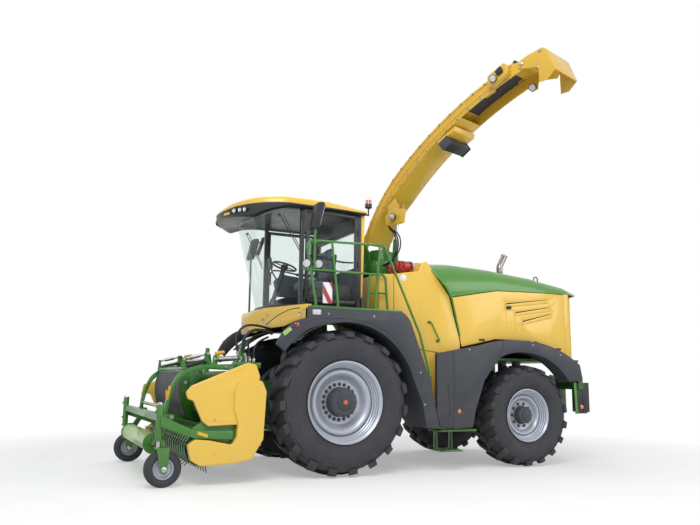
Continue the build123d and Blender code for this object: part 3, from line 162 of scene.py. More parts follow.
# sprayed and baked enamel: even colour, a slight orange peel under a clear gloss
enamelYellow = layeredSurface("bakedEnamelYellow", paintLook, "#E6BE4C", "#DEB442", "#F0D58A")
enamelChute = layeredSurface("bakedEnamelChuteYellow", paintLook, "#DDB438", "#D2A62E", "#EBD084", dust=0.2,
                             dustTop=7.0)
enamelGreen = layeredSurface("bakedEnamelGreen", paintLook, "#4B8A2F", "#44802A", "#7FA868")
enamelDeepGreen = layeredSurface("powderCoatedSteelGreen", paintLook, "#347A22", "#2C6D1C", "#6F9A5C", dust=0.16,
                                 roughness=0.38)
enamelFrame = layeredSurface("chassisEnamelGreen", paintLook, "#24601A", "#1D5214", "#587C4A", dust=0.3, roughness=0.48,
                             coat=0.1)
enamelLight = layeredSurface("bakedEnamelLightGreen", paintLook, "#9DBF6A", "#92B45F", "#C4D6A4")
rimPaint = layeredSurface("rimEnamelSilver", paintLook, "#B4BAC6", "#A9AFBB", "#D6DAE0", metallic=0.35, roughness=0.38,
                          dust=0.22)
redEnamel = layeredSurface("cylinderEnamelRed", paintLook, "#B3262A", "#9E1E23", "#D88A86")
# rotation-moulded polyethylene: matt with a fine pebble grain
fenderPlastic = layeredSurface("mouldedPolyethyleneGrey", plasticLook, "#33373F", "#2D3037", "#5C6068")
# injection-moulded ABS: darker, tighter grain
blackPlastic = layeredSurface("mouldedAbsBlack", plasticLook, "#1E1F24", "#18191D", "#45464C", roughness=0.42)
cabBlack = layeredSurface("electroCoatedSteelBlack", plasticLook, "#23252B", "#1C1E23", "#4A4C52", roughness=0.36,
                          coat=0.15)
cabTrim = layeredSurface("thermoformedTrimGrey", plasticLook, "#565E68", "#4C545E", "#7C848C")
# vulcanised rubber: dull, finely pitted, browned by soil low down
tyreRubber = layeredSurface("vulcanisedTyreRubber", plasticLook, "#33343B", "#2A2B31", "#46464A", roughness=0.72,
                            grainMm=4.0, relief=0.35, dust=0.2, dustTop=2.3, dustHex="#6E6A66")
sheetRubber = layeredSurface("calenderedRubberSheet", plasticLook, "#3A3B40", "#323338", "#6C6C70", roughness=0.6,
                             grainMm=2.0, relief=0.3)
hoseRubber = layeredSurface("braidedHoseRubber", plasticLook, "#212226", "#191A1D", "#45454A", roughness=0.45,
                            grainMm=2.5, relief=0.5)
# ground and hard-chromed rods, zinc-plated fasteners, rolled stainless, sand-cast iron
chromedSteel = layeredSurface("groundChromedSteel", metalLook, "#BFC0C6", "#B3B4BA", "#D8D8DC", roughness=0.14,
                              glossDrift=0.04)
zincSteel = layeredSurface("zincPlatedSteel", metalLook, "#B4B6B8", "#A2A49F", "#D8D8D2", roughness=0.36)
stainlessSteel = layeredSurface("rolledStainlessSteel", metalLook, "#97948F", "#847D75", "#BDBAB6", roughness=0.24,
                                driftScale=5.0)
springSteel = layeredSurface("hardenedSpringSteel", metalLook, "#4A4844", "#35332F", "#8C8880", roughness=0.42,
                             metallic=0.8)
castIron = layeredSurface("sandCastIronPainted", plasticLook, "#3A3D44", "#30333A", "#5E6168", grainMm=2.5, relief=0.5,
                          roughness=0.5)
yellowPlastic = layeredSurface("mouldedNylonYellow", plasticLook, "#E0B030", "#D4A428", "#F0D890")
whitePlate = layeredSurface("anodisedPlateWhite", plasticLook, "#E9EAEC", "#DEE0E2", "#FFFFFF", roughness=0.35)


def castLens(name, look):
    # pressed lamp lens: tinted clear plastic with moulded ribs
    material, tree, coords = newMaterial(name)
    ribs = addNode(tree, "ShaderNodeTexWave", {"Scale": 1000.0 / look["ribMm"] / 20.0, "bands_direction": look["ribs"]},
                   {"Vector": coords})
    drift = addNode(tree, "ShaderNodeTexNoise", {"Scale": 30.0, "Detail": 3.0}, {"Vector": coords})
    relief = addNode(tree, "ShaderNodeBump", {"Strength": 0.5, "Distance": 0.0006}, {"Height": ribs.outputs[0]})
    gloss = addNode(tree, "ShaderNodeMapRange", {1: 0.3, 2: 0.7, 3: 0.06, 4: 0.16}, {0: drift.outputs[0]})
    shader = addNode(tree, "ShaderNodeBsdfPrincipled",
                     {"IOR": 1.49, "Transmission Weight": look["clear"], "Coat Weight": 0.6, "Coat Roughness": 0.04},
                     {"Base Color": driftedColour(tree, drift, look), "Roughness": gloss.outputs[0],
                      "Normal": relief.outputs[0]})
    finishMaterial(tree, shader)
    return material


clearLens = castLens("pressedGlassLens",
                     {"hex": "#F4F6FA", "shadeHex": "#DDE2E8", "ribMm": 6.0, "ribs": "X", "clear": 0.35})
amberLens = castLens("acrylicLensAmber",
                     {"hex": "#E87A22", "shadeHex": "#D2661A", "ribMm": 5.0, "ribs": "Z", "clear": 0.2})
redLens = castLens("acrylicLensRed", {"hex": "#B5221E", "shadeHex": "#98180F", "ribMm": 5.0, "ribs": "Z", "clear": 0.2})


def floatGlass(name, look):
    # tinted safety glass: a thin pane that lets most light through and mirrors the sky a little
    material, tree, coords = newMaterial(name)
    film = addNode(tree, "ShaderNodeTexNoise", {"Scale": 2.4, "Detail": 5.0}, {"Vector": coords})
    haze = addNode(tree, "ShaderNodeMapRange", {1: 0.3, 2: 0.8, 3: 0.01, 4: 0.05}, {0: film.outputs[0]})
    waves = addNode(tree, "ShaderNodeTexNoise", {"Scale": 3.0, "Detail": 1.0}, {"Vector": coords})
    relief = addNode(tree, "ShaderNodeBump", {"Strength": 0.06, "Distance": 0.002}, {"Height": waves.outputs[0]})
    through = addNode(tree, "ShaderNodeBsdfTransparent", links={"Color": driftedColour(tree, film, look)})
    mirror = addNode(tree, "ShaderNodeBsdfPrincipled", {"Metallic": 1.0, "Base Color": linearColour(look["filmHex"])},
                     {"Roughness": haze.outputs[0], "Normal": relief.outputs[0]})
    edge = addNode(tree, "ShaderNodeFresnel", {"IOR": 1.45}, {"Normal": relief.outputs[0]})
    share = addNode(tree, "ShaderNodeMath", {"operation": "MULTIPLY_ADD", 1: 0.12, 2: look["film"], "use_clamp": True},
                    {0: edge.outputs[0]})
    shader = addNode(tree, "ShaderNodeMixShader",
                     links={0: share.outputs[0], 1: through.outputs[0], 2: mirror.outputs[0]})
    finishMaterial(tree, shader)
    return material


cabGlass = floatGlass("temperedGlassTinted",
                      {"hex": "#FCFEFD", "shadeHex": "#F3F8F7", "filmHex": "#F4F6F8", "film": 0.006})


def wovenCloth(name, look):
    # upholstery fabric: crossed threads with a soft sheen
    material, tree, coords = newMaterial(name)
    threads = 1000.0 / look["threadMm"] / 20.0
    warp = addNode(tree, "ShaderNodeTexWave", {"Scale": threads, "bands_direction": "Y", "Distortion": 0.6},
                   {"Vector": coords})
    weft = addNode(tree, "ShaderNodeTexWave", {"Scale": threads, "bands_direction": "DIAGONAL", "Distortion": 0.6},
                   {"Vector": coords})
    weave = addNode(tree, "ShaderNodeMath", {"operation": "MAXIMUM"}, {0: warp.outputs[1], 1: weft.outputs[1]})
    drift = addNode(tree, "ShaderNodeTexNoise", {"Scale": 9.0, "Detail": 4.0}, {"Vector": coords})
    lit = addNode(tree, "ShaderNodeMix", {"data_type": "RGBA", 7: linearColour(look["threadHex"])},
                  {0: weave.outputs[0], 6: driftedColour(tree, drift, look)})
    rough = addNode(tree, "ShaderNodeMapRange", {3: 0.75, 4: 0.95}, {0: drift.outputs[0]})
    relief = addNode(tree, "ShaderNodeBump", {"Strength": 0.5, "Distance": 0.0008}, {"Height": weave.outputs[0]})
    shader = addNode(tree, "ShaderNodeBsdfPrincipled", {"Sheen Weight": 0.3, "Sheen Roughness": 0.5},
                     {"Base Color": lit.outputs[2], "Roughness": rough.outputs[0], "Normal": relief.outputs[0]})
    finishMaterial(tree, shader)
    return material


seatCloth = wovenCloth("wovenSeatCloth",
                       {"hex": "#4C5A66", "shadeHex": "#3E4A55", "threadHex": "#6C7A86", "threadMm": 3.0})


def selectOnly(*objects):
    if bpy.context.object and bpy.context.object.mode != "OBJECT":
        bpy.ops.object.mode_set(mode="OBJECT")
    bpy.ops.object.select_all(action="DESELECT")
    for obj in objects:
        obj.select_set(True)
    bpy.context.view_layer.objects.active = objects[0] if objects else None


def applyPlace(obj):
    selectOnly(obj)
    bpy.ops.object.transform_apply(location=True, rotation=True, scale=True)
    return obj


def bevelEdges(obj, width, segments=2, angle=30.0):
    selectOnly(obj)
    bevel = obj.modifiers.new("edges", "BEVEL")
    bevel.width, bevel.segments, bevel.limit_method = width, segments, "ANGLE"
    bevel.angle_limit = math.radians(angle)
    bpy.ops.object.modifier_apply(modifier="edges")
    return obj


def thicken(obj, thickness):
    obj.modifiers.new("thickness", "SOLIDIFY").thickness = thickness
    selectOnly(obj)
    bpy.ops.object.modifier_apply(modifier="thickness")


def joinAll(parts):
    parts = list(parts)
    if len(parts) > 1:
        selectOnly(*parts)
        bpy.ops.object.join()
    return parts[0]


def finishPiece(obj, name, material, body="chassis", smooth=35.0):
    # names a piece, gives it its finish and slot, and lets it ride its body; the hoses have none
    applyPlace(obj)
    obj.name = obj.data.name = name
    obj.data.materials.clear()
    obj.data.materials.append(material)
    selectOnly(obj)
    bpy.ops.object.shade_smooth_by_angle(angle=math.radians(smooth))
    if body:
        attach(obj, body)
    return obj


def dressNode(node, material, edge, slot=None):
    # the node's own shape with merged faces and softened edges
    source = frame["nodes"][node]
    piece = source.copy()
    piece.data = source.data.copy()
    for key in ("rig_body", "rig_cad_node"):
        del piece[key]
    piece.parent = None
    bpy.context.scene.collection.objects.link(piece)
    edited(piece, lambda: bpy.ops.mesh.remove_doubles(threshold=mergeGap),
           lambda: bpy.ops.mesh.dissolve_limited(angle_limit=math.radians(1.2)))
    if "custom_normal" in piece.data.attributes:
        piece.data.attributes.remove(piece.data.attributes["custom_normal"])
    if edge:
        bevelEdges(piece, edge)
    finishPiece(piece, f"{node}_dressed", material, source["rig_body"])
    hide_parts(node)


def edited(obj, *steps):
    # runs edit-mode steps on the whole mesh
    selectOnly(obj)
    bpy.ops.object.mode_set(mode="EDIT")
    bpy.ops.mesh.select_all(action="SELECT")
    for step in steps:
        step()
    bpy.ops.object.mode_set(mode="OBJECT")
    return obj


def added(operator, **settings):
    # a new primitive, alone in the selection
    bpy.ops.object.select_all(action="DESELECT")
    operator(**settings)
    return bpy.context.object


def outwardFaces():
    bpy.ops.mesh.remove_doubles(threshold=mergeGap)
    bpy.ops.mesh.normals_make_consistent(inside=False)


def blockPiece(low, high, edge=0.004, segments=2):
    # a block between two corners with rounded edges
    low, high = Vector(low), Vector(high)
    block = added(bpy.ops.mesh.primitive_cube_add, size=1, location=(low + high) / 2)
    block.scale = high - low
    applyPlace(block)
    return bevelEdges(block, edge, segments) if edge else block


def barPiece(start, end, radius, sides=14, edge=0.0015, endRadius=None):
    # a straight round bar between two points with chamfered ends
    start, end = Vector(start), Vector(end)
    run = end - start
    bar = added(bpy.ops.mesh.primitive_cone_add, vertices=sides, radius1=radius, depth=run.length,
                radius2=radius if endRadius is None else endRadius, location=(start + end) / 2,
                rotation=run.to_track_quat("Z", "Y").to_euler())
    applyPlace(bar)
    return bevelEdges(bar, edge, 1, 50) if edge else bar


def roundedPath(points, bend, steps=4):
    # the corners of a path of straight runs, replaced by short arcs
    points = [Vector(p) for p in points]
    path = [points[0]]
    for before, corner, after in zip(points, points[1:], points[2:]):
        back, ahead = (before - corner), (after - corner)
        reach = min(bend, back.length * 0.45, ahead.length * 0.45)
        first, last = corner + back.normalized() * reach, corner + ahead.normalized() * reach
        for i in range(steps + 1):
            t = i / steps
            path.append(first * (1 - t) ** 2 + corner * 2 * t * (1 - t) + last * t ** 2)
    return path + [points[-1]]


def tubePiece(points, radius, bend=0.05, sides=3, steps=4, sagging=False):
    # a bent tube along the path, or one on a smooth line through its own sag, made a mesh
    curve = bpy.data.curves.new("tube", "CURVE")
    curve.dimensions, curve.bevel_depth, curve.bevel_resolution, curve.use_fill_caps = "3D", radius, sides, True
    path = roundedPath(points, bend, steps) if bend else [Vector(p) for p in points]
    line = curve.splines.new("NURBS" if sagging else "POLY")
    line.points.add(len(path) - 1)
    for point, place in zip(line.points, path):
        point.co = (*place, 1)
    if sagging:
        curve.resolution_u, line.order_u, line.use_endpoint_u = 10, 3, True
    tube = bpy.data.objects.new("tube", curve)
    bpy.context.scene.collection.objects.link(tube)
    selectOnly(tube)
    bpy.ops.object.convert(target="MESH")
    return bpy.context.object


def hosePiece(points, radius):
    return tubePiece(points, radius, bend=0, sagging=True)


def facing(place, direction):
    # a matrix that stands a piece's own up axis along the direction
    return Matrix.Translation(Vector(place)) @ Vector(direction).to_track_quat("Z", "Y").to_matrix().to_4x4()


def lathePiece(place, direction, profile, steps=48):
    # a turned shape; profile is a closed loop of (radius, along the axis)
    turned = added(bpy.ops.mesh.primitive_circle_add, vertices=len(profile))
    for vertex, (radius, along) in zip(turned.data.vertices, profile):
        vertex.co = (radius, 0, along)
    edited(turned, lambda: bpy.ops.mesh.spin(steps=steps, angle=2 * math.pi, center=(0, 0, 0), axis=upright),
           outwardFaces, lambda: bpy.ops.mesh.dissolve_degenerate(threshold=mergeGap),
           lambda: bpy.ops.mesh.delete_loose())
    turned.matrix_world = facing(place, direction)
    return applyPlace(turned)


def panelPiece(outline, place, across, upward, thickness, edge=0.003, segments=2):
    # a flat panel: outline in its plane, extruded along across x upward
    panel = added(bpy.ops.mesh.primitive_circle_add, vertices=len(outline), fill_type="NGON")
    for vertex, (u, v) in zip(panel.data.vertices, outline):
        vertex.co = (u, v, 0)
    edited(panel, lambda: bpy.ops.mesh.extrude_region_move(TRANSFORM_OT_translate={"value": (0, 0, thickness)}),
           lambda: bpy.ops.mesh.select_all(action="SELECT"), outwardFaces)
    across, upward = Vector(across), Vector(upward)
    panel.matrix_world = Matrix.Translation(Vector(place)) @ Matrix((across, upward,
                                                                     across.cross(upward))).transposed().to_4x4()
    applyPlace(panel)
    return bevelEdges(panel, edge, segments) if edge else panel


def sidePanel(outline, y, thickness, edge=0.003, segments=2):
    # outline in (forward, up) of the datum; it runs from y towards the machine's right
    return panelPiece(outline, at(0, y, 0), forward, upright, thickness, edge, segments)


def roundedOutline(points, radius, steps=3):
    flat = roundedPath([(*p, 0) for p in [*points, points[0], points[1]]], radius, steps)
    return [(p.x, p.y) for p in flat[1:-1]]


def copyAt(source, matrix):
    copy = source.copy()
    copy.data = source.data.copy()
    copy.data.transform(matrix)
    bpy.context.scene.collection.objects.link(copy)
    return copy


def manyCopies(source, matrices):
    # one shape repeated at many places, joined into one piece
    copies = [copyAt(source, matrix) for matrix in matrices]
    bpy.data.objects.remove(source)
    return joinAll(copies)


def acrossCopy(source):
    # the mirror image on the other side of the machine
    copy = copyAt(source, Matrix.Diagonal((1, -1, 1, 1)))
    return edited(copy, lambda: bpy.ops.mesh.flip_normals())


def boltPiece(size):
    # a hexagon bolt head on its washer, standing on z = 0
    washer = barPiece((0, 0, 0), (0, 0, size * 0.16), size * 0.72, 16, size * 0.05)
    head = barPiece((0, 0, size * 0.16), (0, 0, size * 0.62), size * 0.52, 6, size * 0.07)
    return joinAll([washer, head])


def boltsAt(places, direction, size):
    # bolt heads at the places, all standing along one direction
    return manyCopies(boltPiece(size), [facing(place, direction) for place in places])


def boltRing(place, direction, radius, count, size, start=0.0):
    base = facing(place, direction)
    turns = [base @ Matrix.Rotation(start + 2 * math.pi * i / count, 4, "Z") @ Matrix.Translation((radius, 0, 0))
             for i in range(count)]
    return manyCopies(boltPiece(size), turns)


def bothSides(parts, name, material, bodies=("chassis",), smooth=35.0):
    # joins the parts into one piece on the left and mirrors it to the right
    left = joinAll(parts)
    right = acrossCopy(left)
    for piece, body, side in ((left, bodies[0], "left"), (right, bodies[-1], "right")):
        finishPiece(piece, f"{name}_{side}", material, body, smooth)
    return left, right


print("stage: finishes ready")

# node, finish, width of the softened edges in metres; the reel's row adds a slot name
dressTable = [
    ("main_frame", enamelFrame, 0.004), ("engine_block", castIron, 0.01), ("front_axle", enamelFrame, 0.008),
    ("rear_axle", enamelFrame, 0.006), ("knuckle_left", enamelFrame, 0.003), ("knuckle_right", enamelFrame, 0.003),
    ("drum_housing", enamelFrame, 0.006), ("tanks", enamelYellow, 0.012), ("hood_top", enamelGreen, 0.005),
    ("hood_tail", enamelYellow, 0.005), ("hood_side_left", enamelYellow, 0.004),
    ("hood_side_right", enamelYellow, 0.004), ("rear_grille", blackPlastic, 0.002),
    ("front_fenders", fenderPlastic, 0.012), ("rear_fenders", fenderPlastic, 0.012),
    ("platforms", enamelDeepGreen, 0.003), ("railing", enamelDeepGreen, 0.0), ("cab_frame", cabBlack, 0.008),
    ("front_cowl", enamelYellow, 0.02), ("mirrors", blackPlastic, 0.01), ("lamps", blackPlastic, 0.008),
    ("exhaust", stainlessSteel, 0.0), ("extinguishers", redEnamel, 0.012), ("rear_hitch", enamelFrame, 0.004),
    ("front_tyre_left", tyreRubber, 0.006), ("front_tyre_right", tyreRubber, 0.006),
    ("rear_tyre_left", tyreRubber, 0.006), ("rear_tyre_right", tyreRubber, 0.006),
    ("chute_turntable", enamelDeepGreen, 0.003), ("chute_arm", enamelChute, 0.004), ("chute_flap", enamelChute, 0.003),
    ("chute_tip", enamelChute, 0.003), ("chute_lift_barrel", enamelDeepGreen, 0.003),
    ("chute_lift_rod", chromedSteel, 0.002), ("feed_housing", enamelFrame, 0.004),
    ("header_lift_barrels", enamelDeepGreen, 0.003), ("header_lift_rods", chromedSteel, 0.002),
    ("pickup_frame", enamelDeepGreen, 0.002), ("pickup_covers", enamelYellow, 0.03),
    ("pickup_reel", springSteel, 0.0, "body_green"), ("intake_auger", enamelDeepGreen, 0.0),
    ("press_arms", enamelDeepGreen, 0.003), ("press_roller", enamelLight, 0.004), ("gauge_wheel_left", tyreRubber, 0.0),
    ("gauge_wheel_right", tyreRubber, 0.0), ("steering_column", blackPlastic, 0.0),
]
for node, material, edge, *slot in dressTable:
    dressNode(node, material, edge, *slot)
print("stage: nodes dressed")

# radii and distances along the axle outwards from the wheel's middle, in metres
wheelLooks = {
    "front": {
        "centre": (0.0, 1.145, 0.935), "steps": 72, "bodies": ("front_wheel_left", "front_wheel_right"),
        "rim": [(0.559, -0.317), (0.561, -0.309), (0.557, -0.303), (0.533, -0.293), (0.533, 0.293), (0.556, 0.303),
                (0.561, 0.309), (0.559, 0.317), (0.550, 0.319), (0.545, 0.314), (0.527, 0.302), (0.517, 0.290),
                (0.514, 0.262), (0.503, 0.252), (0.500, 0.226), (0.486, 0.214), (0.482, 0.186), (0.470, 0.176),
                (0.466, 0.150), (0.452, 0.140), (0.452, 0.158), (0.444, 0.178), (0.428, 0.190), (0.404, 0.192),
                (0.382, 0.180), (0.352, 0.142), (0.322, 0.104), (0.300, 0.088), (0.276, 0.082), (0.190, 0.082),
                (0.190, 0.060), (0.300, 0.060), (0.430, 0.110), (0.470, 0.060), (0.500, -0.280), (0.512, -0.317)],
        "hub": [(0.0, 0.080), (0.200, 0.080), (0.204, 0.096), (0.196, 0.104), (0.192, 0.215), (0.197, 0.222),
                (0.197, 0.238), (0.190, 0.246), (0.176, 0.250), (0.172, 0.258), (0.120, 0.262), (0.114, 0.270),
                (0.098, 0.272), (0.092, 0.282), (0.060, 0.284), (0.056, 0.294), (0.0, 0.296)],
        "nuts": (0.243, 0.082, 20, 0.036), "hubBolts": (0.183, 0.250, 16, 0.020), "faceBolts": (0.105, 0.271, 8, 0.016),
        "cap": [(0.0, 0.292), (0.030, 0.292), (0.031, 0.300), (0.026, 0.307), (0.0, 0.309)],
        "rings": ((0.600, 0.010), (0.640, 0.006), (0.745, 0.005), (0.860, 0.008)),
        "carcass": ((0.291, 0.565), (0.345, 0.7355), (0.3105, 0.8958)),
    },
    "rear": {
        "centre": (-3.187, 1.115, 0.72), "steps": 60, "bodies": ("rear_wheel_left", "rear_wheel_right"),
        "rim": [(0.406, -0.240), (0.408, -0.233), (0.404, -0.228), (0.380, -0.216), (0.380, 0.216), (0.404, 0.226),
                (0.408, 0.232), (0.406, 0.240), (0.399, 0.242), (0.395, 0.237), (0.380, 0.227), (0.372, 0.216),
                (0.368, 0.198), (0.358, 0.190), (0.354, 0.168), (0.344, 0.160), (0.340, 0.136), (0.326, 0.128),
                (0.322, 0.104), (0.310, 0.096), (0.310, 0.110), (0.304, 0.124), (0.290, 0.134), (0.272, 0.132),
                (0.256, 0.116), (0.238, 0.082), (0.222, 0.066), (0.205, 0.060), (0.120, 0.060), (0.120, 0.040),
                (0.220, 0.040), (0.296, 0.080), (0.330, 0.040), (0.350, -0.216), (0.358, -0.240)],
        "hub": [(0.0, 0.058), (0.140, 0.058), (0.143, 0.068), (0.134, 0.078), (0.128, 0.150), (0.131, 0.156),
                (0.128, 0.172), (0.118, 0.180), (0.080, 0.184), (0.074, 0.200), (0.050, 0.206), (0.0, 0.208)],
        "nuts": (0.176, 0.060, 10, 0.034), "hubBolts": (0.118, 0.178, 10, 0.018), "faceBolts": (0.064, 0.198, 6, 0.014),
        "cap": None,
        "rings": ((0.440, 0.008), (0.480, 0.005), (0.575, 0.004), (0.668, 0.006)),
        "carcass": ((0.214, 0.412), (0.290, 0.5725), (0.261, 0.700)),
    },
}


def circleThrough(a, b, c):
    # centre and radius of the circle through three points of a plane
    (ax, ay), (bx, by), (cx, cy) = a, b, c
    d = 2 * (ax * (by - cy) + bx * (cy - ay) + cx * (ay - by))
    ux = ((ax ** 2 + ay ** 2) * (by - cy) + (bx ** 2 + by ** 2) * (cy - ay) + (cx ** 2 + cy ** 2) * (ay - by)) / d
    uy = ((ax ** 2 + ay ** 2) * (cx - bx) + (bx ** 2 + by ** 2) * (ax - cx) + (cx ** 2 + cy ** 2) * (bx - ax)) / d
    return (ux, uy), math.dist((ux, uy), a)


def dressWheel(axle, look):
    hubCentre = at(*look["centre"])
    rim = lathePiece(hubCentre, leftward, look["rim"], look["steps"])
    left, right = bothSides([rim], f"{axle}_rim_pressed", rimPaint, look["bodies"], smooth=28)
    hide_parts(f"{axle}_rim_left")
    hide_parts(f"{axle}_rim_right")

    def bolts(key, sunk):
        radius, along, count, size = look[key]
        return boltRing(hubCentre + Vector((0, along - sunk, 0)), leftward, radius, count, size)
    hub = lathePiece(hubCentre, leftward, look["hub"], 40)
    bothSides([hub, bolts("hubBolts", 0.004), bolts("faceBolts", 0.002)], f"{axle}_hub", castIron, look["bodies"],
              smooth=30)
    bothSides([bolts("nuts", 0)], f"{axle}_wheel_nuts", castIron, look["bodies"], smooth=30)
    if look["cap"]:
        cap = lathePiece(hubCentre, leftward, look["cap"], 20)
        bothSides([cap], f"{axle}_hub_cap", amberLens, look["bodies"])
    # moulded rings on the sidewall, following its bulge
    (middle, level), bulge = circleThrough(*look["carcass"])
    rings = []
    for radius, height in look["rings"]:
        loop = []
        for offset, lift in ((-1.2, -0.004), (-0.8, 0.7), (0.0, 1.0), (0.8, 0.7), (1.2, -0.004)):
            r = radius + offset * height
            side = middle + math.sqrt(bulge ** 2 - (r - level) ** 2)
            loop.append((r, side + max(lift, -0.2) * height * 0.55))
        loop.append((radius, middle + math.sqrt(bulge ** 2 - (radius - level) ** 2) - 0.01))
        rings.append(lathePiece(hubCentre, leftward, loop, look["steps"]))
    bothSides(rings, f"{axle}_sidewall_rings", tyreRubber, look["bodies"], smooth=40)


for axle, look in wheelLooks.items():
    dressWheel(axle, look)
print("stage: wheels")

# tank panels, wheel arches, cowl and decks
bodyLook = {"jointRadius": 0.004, "handleRadius": 0.011, "fenderSide": 1.5025, "cheekOut": (0.947, 0.321, 0),
            "cowlLamps": ((0.64, 2.115), (0.905, 2.065)), "railLamps": ((0.625, 2.795), (0.445, 2.80)),
            "board": (0.225, 2.27)}


def dressBody():
    # folded joint between the two panels of each tank
    joint = barPiece(at(-0.92, 1.1245, 2.25), at(-0.92, 1.1245, 2.81), bodyLook["jointRadius"], 8, 0)
    sill = tubePiece([at(-1.30, 1.203, 1.70), at(-1.60, 1.306, 1.645), at(-1.86, 1.396, 1.60)],
                     bodyLook["jointRadius"], 0)
    bothSides([joint, sill], "tank_panel_joint", blackPlastic)
    sign = lathePiece(at(-1.067, 1.152, 2.76), (0.196, 0.98, 0),
                      [(0, 0), (0.047, 0), (0.05, 0.002), (0.047, 0.004), (0, 0.004)])
    finishPiece(sign, "round_plate_left", whitePlate)
    handle = tubePiece([at(-1.449, 1.235, 2.102), at(-1.449, 1.315, 2.102), at(-1.569, 1.36, 1.825),
                        at(-1.569, 1.27, 1.825)],
                       bodyLook["handleRadius"], 0.03)
    feet = [lathePiece(at(x, y, z), (0.3, 0.95, 0),
                       [(0, -0.004), (0.024, -0.004), (0.024, 0.004), (0.014, 0.008), (0, 0.008)], 16)
            for x, y, z in ((-1.449, 1.256, 2.102), (-1.569, 1.297, 1.825))]
    bothSides([handle, *feet], "tank_grab_handle", enamelDeepGreen)


def dressFenders():
    # split line, reflector, slot and screws of the rear mudguards; lamps and screws of the front ones
    split = sidePanel([(-2.53, 1.60), (-2.535, 1.60), (-2.61, 1.70), (-2.63, 1.852), (-2.622, 1.852), (-2.602, 1.70)],
                      bodyLook["fenderSide"], 0.006, 0)
    slot = sidePanel(roundedOutline([(-1.60, 1.20), (-1.625, 1.20), (-1.665, 0.72), (-1.64, 0.72)], 0.01),
                     bodyLook["fenderSide"], 0.006, 0)
    step = sidePanel([(-1.70, 0.58), (-1.708, 0.58), (-1.73, 1.20), (-1.72, 1.685), (-1.712, 1.686), (-1.722, 1.20)],
                     bodyLook["fenderSide"], 0.006, 0)
    bothSides([split, slot, step], "mudguard_split", blackPlastic)
    reflector = lathePiece(at(-1.80, 1.498, 0.80), leftward,
                           [(0, 0), (0.03, 0), (0.03, 0.008), (0.022, 0.012), (0, 0.012)], 24)
    bothSides([reflector], "mudguard_reflector", amberLens)
    screws = boltsAt([at(x, 1.5, z) for x, z in ((-2.0, 1.70), (-3.2, 1.80), (-3.75, 1.66), (-1.15, 1.35), (-1.22, 0.9),
                                                 (0.3, 2.12), (-0.4, 2.12))], leftward, 0.02)
    bothSides([screws], "mudguard_screws", zincSteel)
    housing = sidePanel(roundedOutline([(0.417, 2.102), (0.537, 2.102), (0.537, 2.172), (0.417, 2.172)], 0.012), 1.512,
                        0.016, 0.003)
    bothSides([housing], "marker_lamp", clearLens)
    red = lathePiece(at(0.76, 1.498, 1.955), leftward,
                     [(0, 0), (0.034, 0), (0.034, 0.010), (0.026, 0.016), (0, 0.017)], 24)
    ring = lathePiece(at(0.76, 1.498, 1.955), leftward,
                      [(0.033, 0), (0.042, 0), (0.042, 0.006), (0.037, 0.010), (0.033, 0.010)], 24)
    bothSides([red], "fender_lamp_red", redLens)
    bothSides([ring], "fender_lamp_ring", blackPlastic)
    patch = sidePanel(roundedOutline([(0.925, 1.80), (0.958, 1.845), (0.855, 1.925), (0.822, 1.88)], 0.012), 1.5015,
                      0.004, 0.001)
    bothSides([patch], "fender_reflector_patch", enamelLight)
    # curved seam along the front mudguard, where its lip turns in
    lip = tubePiece([at(1.0, 1.502, 1.72), at(0.8, 1.502, 1.905), at(0.52, 1.502, 2.045), at(0.0, 1.502, 2.08),
                     at(-0.5, 1.502, 1.99), at(-0.86, 1.502, 1.72), at(-1.06, 1.502, 1.3)], 0.004, 0.25, 1, 8)
    bothSides([lip], "mudguard_lip", fenderPlastic)


def dressCowl():
    # black line along the cheek's crease: painted shade of the fold; lamp recesses, small rivets and the black sill
    # below the screen
    def cheek(x, z, lift=0.0):
        run = (x - 0.590) / 0.495
        return at(x + 0.947 * lift, 1.430 * (1 - run) + 0.328 * lift, z)
    crease = tubePiece([cheek(0.635, 2.205, -0.001), cheek(0.70, 2.20, -0.001), cheek(0.79, 2.135, -0.001),
                        cheek(0.885, 2.005, -0.001)],
                       0.006, 0.09, 1, 6)
    bothSides([crease], "cowl_crease_shade", blackPlastic)
    ring = [(0.024, -0.004), (0.032, -0.004), (0.033, 0.003), (0.027, 0.006), (0.023, 0.002)]
    rings = [lathePiece(cheek(x, z), bodyLook["cheekOut"], ring, 24) for x, z in bodyLook["cowlLamps"]]
    bothSides(rings, "cowl_lamp_ring", zincSteel)
    lens = [lathePiece(cheek(x, z, -0.014), bodyLook["cheekOut"], [(0, 0), (0.024, 0), (0.02, 0.006), (0, 0.009)], 20)
            for x, z in bodyLook["cowlLamps"]]
    bothSides(lens, "cowl_lamp_lens", clearLens)
    rivets = boltsAt([cheek(x, z) for x, z in ((0.86, 2.01), (0.875, 2.15), (0.61, 2.18))], bodyLook["cheekOut"], 0.02)
    bothSides([rivets], "cowl_rivets", zincSteel)
    # rubber strip between the cowl and the screen
    strip = tubePiece([at(0.50, -0.86, 2.262), at(0.70, -0.62, 2.262), at(0.835, 0, 2.262), at(0.70, 0.62, 2.262),
                       at(0.50, 0.86, 2.262)],
                      0.014, 0.3, 2, 8)
    finishPiece(strip, "screen_sill_seal", blackPlastic)
    box = blockPiece(at(0.60, 0.52, 2.25), at(0.74, 0.70, 2.31), 0.01)
    ribs = [blockPiece(at(0.742, 0.54 + i * 0.028, 2.258), at(0.748, 0.554 + i * 0.028, 2.302), 0.001)
            for i in range(6)]
    bothSides([box, *ribs], "cowl_intake", blackPlastic)


